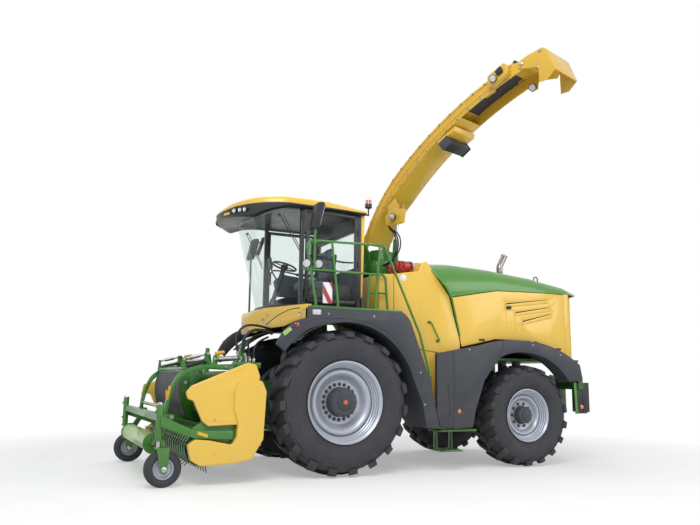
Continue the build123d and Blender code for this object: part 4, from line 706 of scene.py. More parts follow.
def dressRailing():
    # work lamps, warning board, clamps and feet on the access platform
    reflector = [(0, 0.0), (0.052, 0.0), (0.056, 0.012), (0.05, 0.02), (0, 0.026)]
    bowl = [(0, -0.085), (0.028, -0.085), (0.034, -0.07), (0.058, -0.03), (0.062, 0.012), (0.058, 0.018),
            (0.053, 0.006), (0, 0.0)]
    facingOut = (0.62, 0.78, -0.08)
    bowls = [lathePiece(at(x, 1.475, z), facingOut, bowl, 28) for x, z in bodyLook["railLamps"]]
    lenses = [lathePiece(at(x, 1.475, z), facingOut, reflector, 28) for x, z in bodyLook["railLamps"]]
    finishPiece(joinAll(bowls), "rail_lamp_bowls", blackPlastic)
    finishPiece(joinAll(lenses), "rail_lamp_lenses", clearLens)
    boardX, boardZ = bodyLook["board"]
    board = panelPiece([(0, 0), (0.14, 0), (0.14, 0.29), (0, 0.29)], at(boardX, 1.444, boardZ), forward, upright,
                       0.004, 0.001)
    finishPiece(board, "warning_board", whitePlate)
    stripes = [panelPiece(o, at(boardX, 1.449, boardZ), forward, upright, 0.0015, 0) for o in
               (((0.0, 0.0), (0.06, 0.0), (0.14, 0.14), (0.14, 0.27), (0.0, 0.02)),
                ((0.0, 0.20), (0.05, 0.29), (0.0, 0.29)))]
    finishPiece(joinAll(stripes), "warning_board_stripes", redEnamel)
    clamps = [blockPiece(at(x - 0.02, 1.44, z - 0.02), at(x + 0.02, 1.50, z + 0.02), 0.005) for x, z in
              ((0.205, 2.72), (0.51, 2.75), (0.51, 3.10), (-0.475, 2.72), (0.62, 2.72))]
    bolts = boltsAt([at(x, 1.47 + dy, 2.233) for x in (0.48, 0.15, -0.43) for dy in (-0.03, 0.012)], upright, 0.022)
    finishPiece(joinAll([*clamps, bolts]), "rail_clamps", enamelDeepGreen)
    tread = [blockPiece(at(x, 1.15, z), at(x + 0.012, 1.43, z + 0.010), 0.002)
             for z, first, last in ((0.532, -2.12, -1.53), (0.247, -1.87, -1.58))
             for x in [first + i * 0.06 for i in range(int((last - first) / 0.06) + 1)]]
    finishPiece(joinAll(tread), "step_tread", zincSteel)


dressBody()
dressFenders()
dressCowl()
dressRailing()
print("stage: body")

# roof cap, visor, screen and doors of the cab; rows of the tables run backwards from the front
roofLook = {
    "half": 0.95, "turn": 0.70, "nose": 1.50, "tail": -0.64,
    # forward, seam height, height of the rounded side above it
    "seam": [(1.50, 3.69, 0.03), (1.36, 3.725, 0.06), (1.12, 3.75, 0.085), (0.79, 3.761, 0.095), (0.08, 3.758, 0.10),
             (-0.43, 3.742, 0.045), (-0.64, 3.735, 0.03)],
    # forward, height of the lower edge of the visor
    "brow": [(1.50, 3.60), (1.36, 3.575), (1.16, 3.55), (1.04, 3.61), (0.88, 3.665), (0.65, 3.705), (-0.64, 3.705)],
    # share of the way to the middle, share of the side's height, crown added
    "capRows": ((0.012, -0.04, 0), (0.0, 0.0, 0), (0.0, 0.35, 0), (0.012, 0.72, 0), (0.04, 0.93, 0.006),
                (0.10, 1.0, 0.02), (0.25, 1.0, 0.045), (0.5, 1.0, 0.07), (0.8, 1.0, 0.085), (0.97, 1.0, 0.09)),
    # share of the way to the middle, none where the row follows the glass; share of the drop to the brow
    "visorRows": ((0.03, -0.03), (0.008, 0.0), (0.008, 0.3), (0.03, 0.75), (0.08, 0.97), (0.14, 1.0), (None, 1.0),
                  (None, 0.93)),
    "screenFoot": 0.80, "screenReach": 0.28, "screenSill": 2.31, "screenRise": 1.40, "screenPost": (0.486, 0.832),
}


def alongTable(rows, x, column):
    # straight between the rows of a table that falls from front to back
    for front, back in zip(rows, rows[1:]):
        if x >= back[0]:
            share = min(max((x - back[0]) / (front[0] - back[0]), 0.0), 1.0)
            return back[column] + (front[column] - back[column]) * share
    return rows[-1][column]


def arcThrough(first, middle, last, count):
    # evenly spaced points on the arc of three points
    (cx, cy), radius = circleThrough(first, middle, last)
    angles = [math.atan2(p[1] - cy, p[0] - cx) for p in (first, middle, last)]
    for i in (1, 2):
        while angles[i] - angles[i - 1] > math.pi:
            angles[i] -= 2 * math.pi
        while angles[i] - angles[i - 1] < -math.pi:
            angles[i] += 2 * math.pi
    return [(cx + radius * math.cos(angles[0] + (angles[2] - angles[0]) * i / count),
             cy + radius * math.sin(angles[0] + (angles[2] - angles[0]) * i / count)) for i in range(count + 1)]


def ringShell(rings, closeTop=False):
    # skins a stack of closed rings with the same number of points
    count = len(rings[0])
    shell = added(bpy.ops.mesh.primitive_circle_add, vertices=count)
    edited(shell, *[lambda: bpy.ops.mesh.extrude_edges_move()] * (len(rings) - 1),
           *[lambda: bpy.ops.mesh.edge_face_add()] * closeTop)
    for index, vertex in enumerate(shell.data.vertices):
        vertex.co = rings[index // count][index % count]
    return edited(shell, lambda: bpy.ops.mesh.normals_make_consistent(inside=False))


def roofPlan():
    look = roofLook
    front = arcThrough((look["turn"], look["half"]), (look["nose"], 0), (look["turn"], -look["half"]), 36)
    right = [(look["turn"] - 0.12 * i, -look["half"]) for i in range(1, 11)]
    rear = arcThrough((-0.55, -look["half"]), (look["tail"], 0), (-0.55, look["half"]), 16)
    left = [(-0.50 + 0.12 * i, look["half"]) for i in range(0, 10)]
    return front + right + rear + left


def dressRoof():
    plan = roofPlan()
    seam = lambda x: alongTable(roofLook["seam"], x, 1)
    rise = lambda x: alongTable(roofLook["seam"], x, 2)
    rings = []
    for inward, lift, crown in roofLook["capRows"]:
        ring = []
        for x, y in plan:
            middle = x + (min(max(x, -0.35), 0.75) - x) * inward
            ring.append(at(middle, y * (1 - inward), seam(middle) + rise(middle) * lift + crown))
        rings.append(ring)
    roof = ringShell(rings, True)
    finishPiece(roof, "cab_roof_cap", enamelYellow, smooth=40)
    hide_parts("cab_roof")
    rings = []
    glass = arcThrough((0.50, 0.80), (1.13, 0), (0.50, -0.80), 36)
    for inward, drop in roofLook["visorRows"]:
        ring = []
        for index, (x, y) in enumerate(plan):
            top, low = seam(x) - 0.002, alongTable(roofLook["brow"], x, 1)
            if inward is None:
                px, py = glass[index] if index <= 36 else (min(max(x, -0.46), 0.50),
                                                           math.copysign(0.80, y) if abs(y) > 0.9 else y * 0.84)
                low = alongTable(roofLook["brow"], px, 1)
            else:
                px, py = x + (min(max(x, -0.35), 0.75) - x) * inward, y * (1 - inward)
            ring.append(at(px, py, top + (low - top) * drop))
        rings.append(ring)
    visor = ringShell(rings)
    lining = ringShell([[at(p.x - axleX, p.y, 3.712) for p in rings[-1]],
                        [at(0.2 + (p.x - axleX - 0.2) * 0.5, p.y * 0.5, 3.722) for p in rings[-1]]], True)
    finishPiece(joinAll([visor, lining]), "roof_visor_shell", cabBlack, smooth=40)
    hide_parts("roof_visor")
    tops = [blockPiece(at(x, side * 0.82 - 0.03, 3.55), at(x + 0.06, side * 0.82 + 0.03, 3.72), 0.004)
            for x in (0.42, -0.5) for side in (1, -1)]
    tops.append(blockPiece(at(-0.5, -0.79, 3.55), at(-0.46, 0.79, 3.72), 0.004))
    finishPiece(joinAll(tops), "pillar_tops", cabBlack)
    corner = sidePanel(roundedOutline([(-0.56, 3.73), (-0.502, 3.73), (-0.502, 2.45), (-0.525, 2.45)], 0.01), 0.862,
                       0.05, 0.006)
    bothSides([corner], "cab_corner_trim", enamelYellow)


def dressScreen():
    # the screen leans out from its foot; its plan is an arc from pillar to pillar
    look, columns = roofLook, 40
    postX, postY = look["screenPost"]
    screen = added(bpy.ops.mesh.primitive_grid_add, x_subdivisions=columns, y_subdivisions=12, size=1)
    for vertex in screen.data.vertices:
        across, height = vertex.co.x + 0.5, vertex.co.y + 0.5
        z = look["screenSill"] + 0.004 + height * look["screenRise"]
        reach = look["screenFoot"] + look["screenReach"] * (z - look["screenSill"])
        x, y = arcThrough((postX, postY), (reach, 0), (postX, -postY), columns)[round(across * columns)]
        vertex.co = at(x, y, min(z, alongTable(roofLook["brow"], x, 1) + 0.03))
    thicken(screen, 0.008)
    rear = blockPiece(at(-0.485, -0.74, 2.925), at(-0.477, 0.74, 3.475), 0.001)
    panes = joinAll([screen, rear])
    finishPiece(panes, "cab_screen", cabGlass)
    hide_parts("cab_glass")


def dressDoors():
    low, high, edge = (-0.432, 2.335), (0.412, 3.692), 0.05
    bars = [blockPiece(at(low[0], 0.846, low[1]), at(low[0] + edge, 0.882, high[1]), 0.008),
            blockPiece(at(high[0] - edge, 0.846, low[1]), at(high[0], 0.882, high[1]), 0.008),
            blockPiece(at(low[0] + 0.01, 0.846, low[1]), at(high[0] - 0.01, 0.882, low[1] + edge + 0.01), 0.008),
            blockPiece(at(low[0] + 0.01, 0.846, high[1] - 0.035), at(high[0] - 0.01, 0.882, high[1]), 0.008)]
    handle = tubePiece([at(0.33, 0.884, 2.80), at(0.33, 0.905, 2.80), at(0.33, 0.905, 3.0), at(0.33, 0.884, 3.0)],
                       0.012, 0.02)
    left, right = bothSides([*bars, handle], "door_frame", cabBlack, cabDoors)
    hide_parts("door_left")
    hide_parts("door_right")
    pane = blockPiece(at(low[0] + 0.035, 0.86, low[1] + 0.035), at(high[0] - 0.035, 0.866, high[1] - 0.025), 0.001)
    left, right = bothSides([pane], "door_pane", cabGlass, cabDoors)
    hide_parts("door_glass_left")
    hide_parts("door_glass_right")


dressRoof()
dressScreen()
dressDoors()
print("stage: roof and glass")

cabLook = {"mirrorLean": -0.24, "wiperRadius": 0.007, "visorLamps": ((1.385, 0.485), (1.327, 0.575), (1.275, 0.64)),
           "lampHeight": 3.655, "beacon": (-0.70, 0.70)}


def dressMirrors():
    glass = panelPiece(roundedOutline([(0, 0), (0.105, 0), (0.105, 0.32), (0, 0.32)], 0.02), at(0.462, 1.518, 3.325),
                       (0, -1, 0), (cabLook["mirrorLean"], 0, 0.97), 0.004, 0.001)
    ribs = [sidePanel([(0.40 + k * 0.028, 3.64 - k * 0.004), (0.407 + k * 0.028, 3.64 - k * 0.004),
                       (0.487 + k * 0.028, 3.30), (0.48 + k * 0.028, 3.30)],
                      1.540, 0.006, 0.002) for k in range(4)]
    bothSides([glass], "mirror_glass", chromedSteel)
    bothSides(ribs, "mirror_ribs", blackPlastic)


def dressCabOutside():
    # wipers, seals, lamps under the visor, door handle and hinges
    blade = barPiece(at(0.80, 0.82, 3.60), at(0.49, 0.872, 3.06), cabLook["wiperRadius"], 8, 0)
    arm = barPiece(at(0.75, 0.83, 3.60), at(0.50, 0.876, 3.12), 0.006, 8, 0)
    pivot = lathePiece(at(0.80, 0.78, 3.60), (0.3, 0.9, 0),
                       [(0, -0.02), (0.02, -0.02), (0.022, 0.01), (0.016, 0.016), (0, 0.018)], 16)
    bothSides([blade, arm, pivot], "screen_wiper", blackPlastic)
    lamp = [(0, -0.03), (0.024, -0.03), (0.034, 0.0), (0.036, 0.012), (0.032, 0.016), (0.030, 0.006), (0, 0.004)]
    lens = [(0, 0.002), (0.029, 0.002), (0.029, 0.014), (0.02, 0.018), (0, 0.019)]
    places, aim = [at(x, y, cabLook["lampHeight"]) for x, y in cabLook["visorLamps"]], (0.80, 0.59, -0.10)
    bowls = [lathePiece(place, aim, lamp, 20) for place in places]
    lenses = [lathePiece(place, aim, lens, 20) for place in places]
    bothSides(bowls, "visor_lamp_bowls", blackPlastic)
    bothSides(lenses, "visor_lamp_lenses", clearLens)
    # rubber seals round the door windows, and the handle with its lock
    low, high = (-0.377, 2.398), (0.357, 3.652)
    ring = [at(x, 0.884, z) for x, z in ((low[0], low[1]), (high[0], low[1]), (high[0], high[1]), (low[0], high[1]),
                                         (low[0], low[1]))]
    seal = tubePiece(ring, 0.007, 0.03, 1)
    lock = blockPiece(at(0.365, 0.880, 2.80), at(0.405, 0.905, 3.02), 0.008)
    bothSides([seal, lock], "door_seal", blackPlastic, cabDoors)
    inner = tubePiece([at(0.33, 0.842, 3.03), at(0.2, 0.80, 3.03), at(-0.22, 0.80, 2.975), at(-0.38, 0.842, 2.975)],
                      0.013, 0.05)
    pocket = sidePanel(roundedOutline([(-0.36, 2.40), (0.34, 2.40), (0.34, 2.50), (0.0, 2.62), (-0.36, 2.62)], 0.04),
                       0.846, 0.03, 0.006)
    bothSides([inner, pocket], "door_inner_bar", blackPlastic, cabDoors)
    hinges = [barPiece(at(-0.437, 0.885, z), at(-0.437, 0.885, z + 0.09), 0.014, 14) for z in (2.42, 2.9, 3.38)]
    bothSides(hinges, "door_hinges", blackPlastic)
    strip = panelPiece(roundedOutline([(-0.075, -0.018), (0.075, -0.018), (0.075, 0.018), (-0.075, 0.018)], 0.01),
                       at(1.446, 0.300, 3.640), (-0.311, 0.950, 0), upright, 0.006, 0.002)
    bothSides([strip], "visor_side_strip", enamelYellow)


def dressBeacon():
    foot = lathePiece(at(*cabLook["beacon"], 3.885), upright,
                      [(0, 0), (0.042, 0), (0.055, 0.008), (0.055, 0.060), (0.050, 0.068), (0, 0.068)], 28)
    dome = lathePiece(at(*cabLook["beacon"], 3.950), upright,
                      [(0, 0), (0.051, 0), (0.051, 0.052), (0.046, 0.064), (0.030, 0.070), (0, 0.072)], 28)
    finishPiece(foot, "beacon_foot", blackPlastic)
    finishPiece(dome, "beacon_dome", amberLens)


seatLook = {"voxel": 0.006, "pressure": 4.0, "frames": 14, "cap": 0.012}


def paddedPiece(name, low, high, tilt=0.0):
    # a foam cushion in cloth: swollen by the cloth solver between its seams
    block = blockPiece(low, high, 0.03, 3)
    if tilt:
        selectOnly(block)
        centre = (Vector(low) + Vector(high)) / 2
        bpy.ops.transform.rotate(value=-tilt, orient_axis="Y", center_override=centre)
        applyPlace(block)
    remesh = block.modifiers.new("voxels", "REMESH")
    remesh.mode, remesh.voxel_size = "VOXEL", seatLook["voxel"] * 2
    bpy.ops.object.modifier_apply(modifier="voxels")
    before = [v.co.copy() for v in block.data.vertices]
    cloth = block.modifiers.new("foam", "CLOTH")
    cloth.settings.use_pressure = True
    cloth.settings.uniform_pressure_force = seatLook["pressure"]
    cloth.settings.effector_weights.gravity = 0.0
    for number in range(1, seatLook["frames"] + 1):
        bpy.context.scene.frame_set(number)
    selectOnly(block)
    bpy.ops.object.modifier_apply(modifier="foam")
    bpy.context.scene.frame_set(1)
    for vertex, start in zip(block.data.vertices, before):
        move = vertex.co - start
        if move.length > seatLook["cap"]:
            vertex.co = start + move.normalized() * seatLook["cap"]
    smooth = block.modifiers.new("smooth", "SUBSURF")
    smooth.levels = smooth.render_levels = 1
    selectOnly(block)
    bpy.ops.object.modifier_apply(modifier="smooth")
    finishPiece(block, name, seatCloth, smooth=60)
    return block


def dressSeat():
    cushion = paddedPiece("seat_cushion", at(-0.30, -0.235, 2.635), at(0.185, 0.235, 2.745))
    back = paddedPiece("seat_back", at(-0.325, -0.225, 2.80), at(-0.235, 0.225, 3.27), 0.12)
    head = paddedPiece("seat_headrest", at(-0.37, -0.12, 3.215), at(-0.31, 0.12, 3.315), 0.12)
    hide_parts("seat")
    shell = sidePanel(roundedOutline([(-0.335, 2.66), (-0.29, 2.66), (-0.345, 3.20), (-0.39, 3.20)], 0.02),
                      0.22, 0.44, 0.01)
    base = blockPiece(at(-0.24, -0.19, 2.33), at(0.10, 0.19, 2.50), 0.02)
    bellows = [blockPiece(at(-0.21, -0.16, 2.50 + k * 0.03), at(0.07, 0.16, 2.525 + k * 0.03), 0.012) for k in range(3)]
    pan = blockPiece(at(-0.31, -0.23, 2.59), at(0.17, 0.23, 2.632), 0.012)
    arms = [blockPiece(at(-0.29, side * 0.29 - 0.028, 2.885), at(0.11, side * 0.29 + 0.028, 2.925), 0.014)
            for side in (1, -1)]
    stays = [blockPiece(at(-0.32, side * 0.285 - 0.02, 2.70), at(-0.25, side * 0.285 + 0.02, 2.90), 0.01)
             for side in (1, -1)]
    finishPiece(joinAll([shell, base, *bellows, pan, *arms, *stays]), "seat_frame", blackPlastic)
    # right-hand console with its lever, and the display on a stalk
    console = sidePanel(roundedOutline([(-0.30, 2.55), (0.35, 2.55), (0.42, 2.80), (0.30, 2.90), (-0.30, 2.84)], 0.03),
                        -0.36, 0.16, 0.012)
    lever = lathePiece(at(0.26, -0.44, 2.88), (0.2, 0, 1), [(0, 0), (0.03, 0), (0.018, 0.03), (0.016, 0.08),
                                                            (0.026, 0.1), (0.028, 0.16), (0.014, 0.18), (0, 0.182)], 20)
    stalk = tubePiece([at(0.36, -0.44, 2.78), at(0.46, -0.46, 2.95), at(0.46, -0.50, 3.02)], 0.012, 0.04)
    screen = panelPiece(roundedOutline([(-0.13, -0.09), (0.13, -0.09), (0.13, 0.09), (-0.13, 0.09)], 0.02),
                        at(0.47, -0.50, 3.09), (0.15, 0.99, 0), (0.2, -0.03, 0.98), 0.03, 0.008)
    finishPiece(joinAll([console, lever, stalk, screen]), "control_console", cabTrim)
    rear = blockPiece(at(-0.455, -0.76, 2.33), at(-0.44, 0.76, 2.90), 0.006)
    floorMat = blockPiece(at(-0.40, -0.76, 2.311), at(0.45, 0.76, 2.322), 0.004)
    finishPiece(joinAll([rear, floorMat]), "cab_lining", cabTrim)
    hub = lathePiece(at(0.412, 0, 2.965), (-0.3, 0, 1),
                     [(0, -0.03), (0.05, -0.03), (0.06, 0.0), (0.045, 0.03), (0, 0.034)], 24)
    horn = barPiece(at(0.60, 0, 2.34), at(0.58, 0, 2.45), 0.06, 20, 0.01, 0.045)
    finishPiece(joinAll([hub, horn]), "steering_boss", blackPlastic)


dressMirrors()
dressCabOutside()
dressBeacon()
dressSeat()
print("stage: cab")

# pick-up header: gauge wheels, forks, top links, hoses, apron and the fittings of the covers
headerLook = {"axleZ": 0.165, "wheelX": 2.40, "wheelY": 1.40, "wireRadius": 0.005, "coils": 15, "apronHalf": 0.90,
              "apronFolds": 13, "apronDepth": 0.011}
apronLine = [(2.080, 1.338), (2.118, 1.240), (2.140, 1.080), (2.110, 0.900), (2.050, 0.760)]


def dressGaugeWheels():
    look = headerLook
    face = [(0.0, 0.012), (0.096, 0.012), (0.112, 0.044), (0.126, 0.056), (0.125, 0.063), (0.118, 0.064),
            (0.106, 0.056), (0.092, 0.030), (0.046, 0.026), (0.042, 0.058), (0.036, 0.066), (0.0, 0.066)]
    centre = at(look["wheelX"], look["wheelY"], look["axleZ"])
    rims = [lathePiece(centre, (0, side, 0), face, 36) for side in (1, -1)]
    bolts = [boltRing(centre + Vector((0, 0.028 * side, 0)), (0, side, 0), 0.068, 5, 0.014) for side in (1, -1)]
    bothSides([*rims, *bolts], "gauge_wheel_rim", rimPaint, ("gauge_left", "gauge_right"))
    # forks: pivot bolts outside, gusset and silver rod with its cap above
    pivots = [lathePiece(at(look["wheelX"], y, look["axleZ"]), (0, side, 0),
                         [(0, 0), (0.034, 0), (0.034, 0.006), (0.024, 0.008), (0.022, 0.022), (0.015, 0.027),
                          (0, 0.028)], 20)
              for y, side in ((1.510, 1), (1.290, -1))]
    cap = lathePiece(at(2.47, 1.44, 0.918), upright,
                     [(0, 0), (0.044, 0), (0.045, 0.012), (0.036, 0.020), (0.026, 0.030), (0, 0.033)], 28)
    rod = barPiece(at(2.47, 1.44, 0.414), at(2.47, 1.44, 0.486), 0.0235, 20)
    bothSides([*pivots, cap, rod], "fork_fittings", chromedSteel, ("header",))
    gusset = sidePanel([(2.37, 0.413), (2.43, 0.413), (2.425, 0.50), (2.41, 0.50)], 1.45, 0.10, 0.003)
    collar = lathePiece(at(2.47, 1.44, 0.486), upright,
                        [(0, 0), (0.05, 0), (0.052, 0.006), (0.05, 0.022), (0, 0.022)], 28)
    lock = boltsAt([at(2.515, 1.44, 0.62), at(2.515, 1.44, 0.84)], forward, 0.024)
    bothSides([gusset, collar, lock], "fork_gussets", enamelDeepGreen, ("header",))


def dressRoller():
    rings = [lathePiece(at(2.45, 0.985, 0.425), leftward,
                        [(0.1, -0.009), (0.129, -0.009), (0.132, -0.004), (0.132, 0.004), (0.129, 0.009),
                                                           (0.02, 0.009), (0.02, 0.0), (0.1, 0.0)], 40)]
    nuts = boltRing(at(2.45, 0.994, 0.425), leftward, 0.055, 4, 0.02)
    bothSides([*rings, nuts], "roller_end_disc", enamelDeepGreen, ("roller",))
    pivot = boltsAt([at(2.25, 1.05, 0.745), at(2.45, 1.012, 0.425)], leftward, 0.036)
    bothSides([pivot], "press_arm_bolts", zincSteel, ("press",))


def coilSpring(start, end, radius, wire, turns):
    start, end = Vector(start), Vector(end)
    base = facing(start, end - start)
    steps = 10
    path = [base @ Vector((radius * math.cos(2 * math.pi * i / steps), radius * math.sin(2 * math.pi * i / steps),
                           (end - start).length * i / (turns * steps))) for i in range(turns * steps + 1)]
    return tubePiece(path, wire, 0, 1)


def dressTopLinks():
    look = headerLook
    spring = coilSpring(at(2.07, 0.86, 1.397), at(1.80, 0.86, 1.463), 0.027, look["wireRadius"], look["coils"])
    bothSides([spring], "link_spring", springSteel, ("header",))
    sleeve = barPiece(at(2.012, 0.86, 1.5045), at(1.878, 0.86, 1.5365), 0.0245, 18, 0.003)
    threads = [barPiece(at(2.06, 0.86, 1.493), at(2.012, 0.86, 1.5045), 0.0145, 12, 0.002),
               barPiece(at(1.878, 0.86, 1.5365), at(1.83, 0.86, 1.548), 0.0145, 12, 0.002)]
    tube = barPiece(at(1.63, 0.95, 1.4915), at(1.40, 0.95, 1.511), 0.0345, 24, 0.004)
    glands = [lathePiece(at(1.63, 0.95, 1.4915), (1, 0, -0.085),
                         [(0, -0.02), (0.040, -0.02), (0.042, 0.0), (0.040, 0.02), (0.024, 0.024), (0, 0.024)], 24)]
    bothSides([sleeve, *threads, tube, *glands], "link_cylinders", zincSteel, ("header",))
    cap = barPiece(at(1.700, 0.95, 1.560), at(1.575, 0.95, 1.585), 0.026, 20, 0.006)
    stem = barPiece(at(1.65, 0.95, 1.50), at(1.65, 0.95, 1.565), 0.012, 12, 0.002)
    bothSides([cap, stem], "coupling_cap", yellowPlastic, ("header",))
    tube = barPiece(at(2.29, -0.918, 0.86), at(2.29, 0.918, 0.86), 0.0235, 20, 0.003)
    finishPiece(tube, "pale_cross_tube", enamelLight, "header")
    pins = boltsAt([at(2.09, 0.866, 1.485), at(1.775, 0.866, 1.562), at(1.70, 0.960, 1.49), at(1.345, 0.960, 1.512),
                    at(1.345, 0.960, 1.66), at(2.08, 0.982, 1.18), at(1.55, 0.982, 1.385)], leftward, 0.03)
    bothSides([pins], "link_pins", zincSteel, ("header",))
    patch = panelPiece(roundedOutline([(-0.09, -0.016), (0.09, -0.016), (0.09, 0.016), (-0.09, 0.016)], 0.006),
                       at(2.293, 0.9815, 1.05), (-0.18, 0, 0.98), (-0.98, 0, -0.18), 0.002, 0)
    side = sidePanel(roundedOutline([(1.905, 0.523), (2.03, 0.565), (2.02, 0.602), (1.895, 0.560)], 0.006),
                     1.5415, 0.003, 0)
    bothSides([patch, side], "blank_yellow_plates", yellowPlastic, ("header",))


def dressCovers():
    plug = lathePiece(at(1.812, 1.573, 0.326), leftward,
                      [(0, 0), (0.022, 0), (0.022, 0.004), (0.014, 0.007), (0, 0.007)], 24)
    bothSides([plug], "cover_plug", amberLens, ("header",))
    fixings = boltsAt([at(x, y, z) for x, y, z in ((1.823, 1.545, 0.733), (1.453, 1.571, 0.626), (1.410, 1.571, 0.625),
                                                   (1.30, 1.571, 1.13), (1.24, 1.571, 0.42), (2.06, 1.571, 0.30))],
                      leftward, 0.016)
    bothSides([fixings], "cover_fixings", zincSteel, ("header",))
    # pressed creases in the moulded covers, drawn as beads in the darker chute yellow: painted shade along the folds
    creases = [tubePiece(path, 0.004, 0.06, 1, 5) for path in (
        [at(1.615, 1.5755, 0.430), at(1.745, 1.5755, 0.214)],
        [at(1.36, 1.5755, 1.16), at(1.31, 1.5755, 0.55), at(1.44, 1.5755, 0.33), at(1.60, 1.5755, 0.28)],
        [at(1.47, 1.544, 1.36), at(1.62, 1.544, 1.31), at(2.08, 1.544, 1.11)],
        [at(2.02, 1.544, 0.93), at(1.93, 1.544, 0.72), at(1.64, 1.544, 0.715)])]
    bothSides(creases, "cover_crease_shade", enamelChute, ("header",))


def dressApron():
    # rubber sheet hung from the front tube, its own stiffness throwing it into long upright folds
    look = headerLook
    apron = added(bpy.ops.mesh.primitive_grid_add, x_subdivisions=130, y_subdivisions=20, size=1)
    line = [p for p in roundedPath([(x, 0, z) for x, z in apronLine], 0.09, 4)]
    lengths = [0.0]
    for a, b in zip(line, line[1:]):
        lengths.append(lengths[-1] + (b - a).length)
    for vertex in apron.data.vertices:
        across, down = vertex.co.x + 0.5, 0.5 - vertex.co.y
        reach = down * lengths[-1]
        index = max(i for i in range(len(line) - 1) if lengths[i] <= reach + 1e-9)
        share = (reach - lengths[index]) / (lengths[index + 1] - lengths[index])
        place = line[index].lerp(line[index + 1], share)
        wave = math.sin(2 * math.pi * look["apronFolds"] * across + 0.7 * math.sin(9 * across))
        fold = wave * look["apronDepth"] * (0.15 + 0.85 * down)
        vertex.co = at(place.x + fold + 0.006, look["apronHalf"] * (2 * across - 1) * 0.995, place.z)
    thicken(apron, 0.005)
    finishPiece(apron, "apron_sheet", sheetRubber, "header", smooth=60)
    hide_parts("crop_apron")
    clamp = blockPiece(at(2.066, -0.90, 1.325), at(2.094, 0.90, 1.337), 0.002)
    patch = panelPiece(roundedOutline([(-0.10, -0.045), (0.10, -0.045), (0.10, 0.045), (-0.10, 0.045)], 0.01),
                       at(2.162, 0.19, 1.02), leftward, (0.08, 0, 1), 0.002, 0)
    finishPiece(clamp, "apron_clamp", enamelDeepGreen, "header")
    finishPiece(patch, "apron_plate", yellowPlastic, "header")


def dressFeedHoses():
    # supply hoses from below the cowl down to the header's valve block
    runs = [[(0.90, 0.86, 1.93), (1.15, 0.93, 1.98), (1.36, 0.96, 1.94), (1.45, 0.96, 1.74), (1.36, 0.95, 1.50)],
            [(0.90, 0.93, 1.86), (1.10, 0.98, 1.92), (1.28, 1.00, 1.86), (1.36, 0.99, 1.68), (1.28, 0.98, 1.50)],
            [(0.90, 0.80, 1.88), (1.12, 0.87, 1.84), (1.24, 0.90, 1.74), (1.22, 0.90, 1.58), (1.20, 0.90, 1.46)],
            [(0.90, 0.76, 1.82), (1.06, 0.82, 1.76), (1.14, 0.86, 1.64), (1.13, 0.86, 1.52), (1.13, 0.86, 1.44)]]
    hoses = [hosePiece([at(*p) for p in run], radius) for run, radius in zip(runs, (0.016, 0.022, 0.014, 0.014))]
    hoses = joinAll(hoses)
    finishPiece(hoses, "header_hoses", hoseRubber, None)
    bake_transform(hoses)
    sleeves = [barPiece(at(*high), at(*low), radius, 18, 0.003) for high, low, radius in (
        ((1.40, 0.955, 1.60), (1.36, 0.95, 1.50), 0.021), ((1.31, 0.985, 1.58), (1.28, 0.98, 1.50), 0.027),
        ((1.212, 0.90, 1.54), (1.20, 0.90, 1.46), 0.019), ((1.13, 0.86, 1.52), (1.13, 0.86, 1.44), 0.019))]
    block = blockPiece(at(1.08, 0.78, 1.375), at(1.42, 1.03, 1.455), 0.01)
    plugs = [barPiece(at(x, y, 1.44), at(x, y, 1.505), 0.024, 6, 0.003)
             for x, y in ((1.36, 0.95), (1.28, 0.98), (1.20, 0.90), (1.13, 0.86))]
    finishPiece(joinAll([*sleeves, *plugs]), "hose_couplings", zincSteel, "header")
    finishPiece(block, "coupling_block", enamelDeepGreen, "header")


dressGaugeWheels()
dressRoller()
dressTopLinks()
dressCovers()
dressApron()
dressFeedHoses()
print("stage: header")

# discharge chute: (away from its slewing axis, up, aside) in metres
chuteLook = {"slewX": -1.25, "turn": math.radians(72.0), "boltPitch": 0.24, "boltSize": 0.024, "hoseRadius": 0.011}
chuteOuter = [[(-0.060, 3.590), (0.200, 4.020), (0.570, 4.440)], [(0.570, 4.440), (1.400, 5.040), (2.840, 5.660)]]
chuteInner = [[(0.010, 3.430), (0.210, 3.800), (0.550, 4.150)], [(0.550, 4.150), (1.350, 4.780), (2.980, 5.510)]]


def chuteDirection(away, up, aside):
    turn = chuteLook["turn"]
    return Vector((-math.cos(turn) * away + math.sin(turn) * aside, math.sin(turn) * away + math.cos(turn) * aside, up))


def onChute(away, up, aside):
    return at(chuteLook["slewX"], 0, up) + chuteDirection(away, 0, aside)


def chutePanel(outline, aside, thickness, edge=0.003):
    # outline in (away, up), growing to the chute's far side
    across, upward = chuteDirection(1, 0, 0), Vector(upright)
    flip = -1 if across.cross(upward).dot(chuteDirection(0, 0, 1)) > 0 else 1
    return panelPiece(outline, onChute(0, 0, aside), across, upward, thickness * flip, edge)


def edgePoints(arcs, inward, pitch):
    # places along the edge, a little inside it, at an even pitch
    places = []
    for arc in arcs:
        (cx, cy), radius = circleThrough(*arc)
        count = max(2, round(math.dist(arc[0], arc[2]) / pitch))
        for x, z in arcThrough(*arc, count)[:-1]:
            away = Vector((x - cx, z - cy)).normalized()
            places.append((x + away.x * inward, z + away.y * inward))
    return places


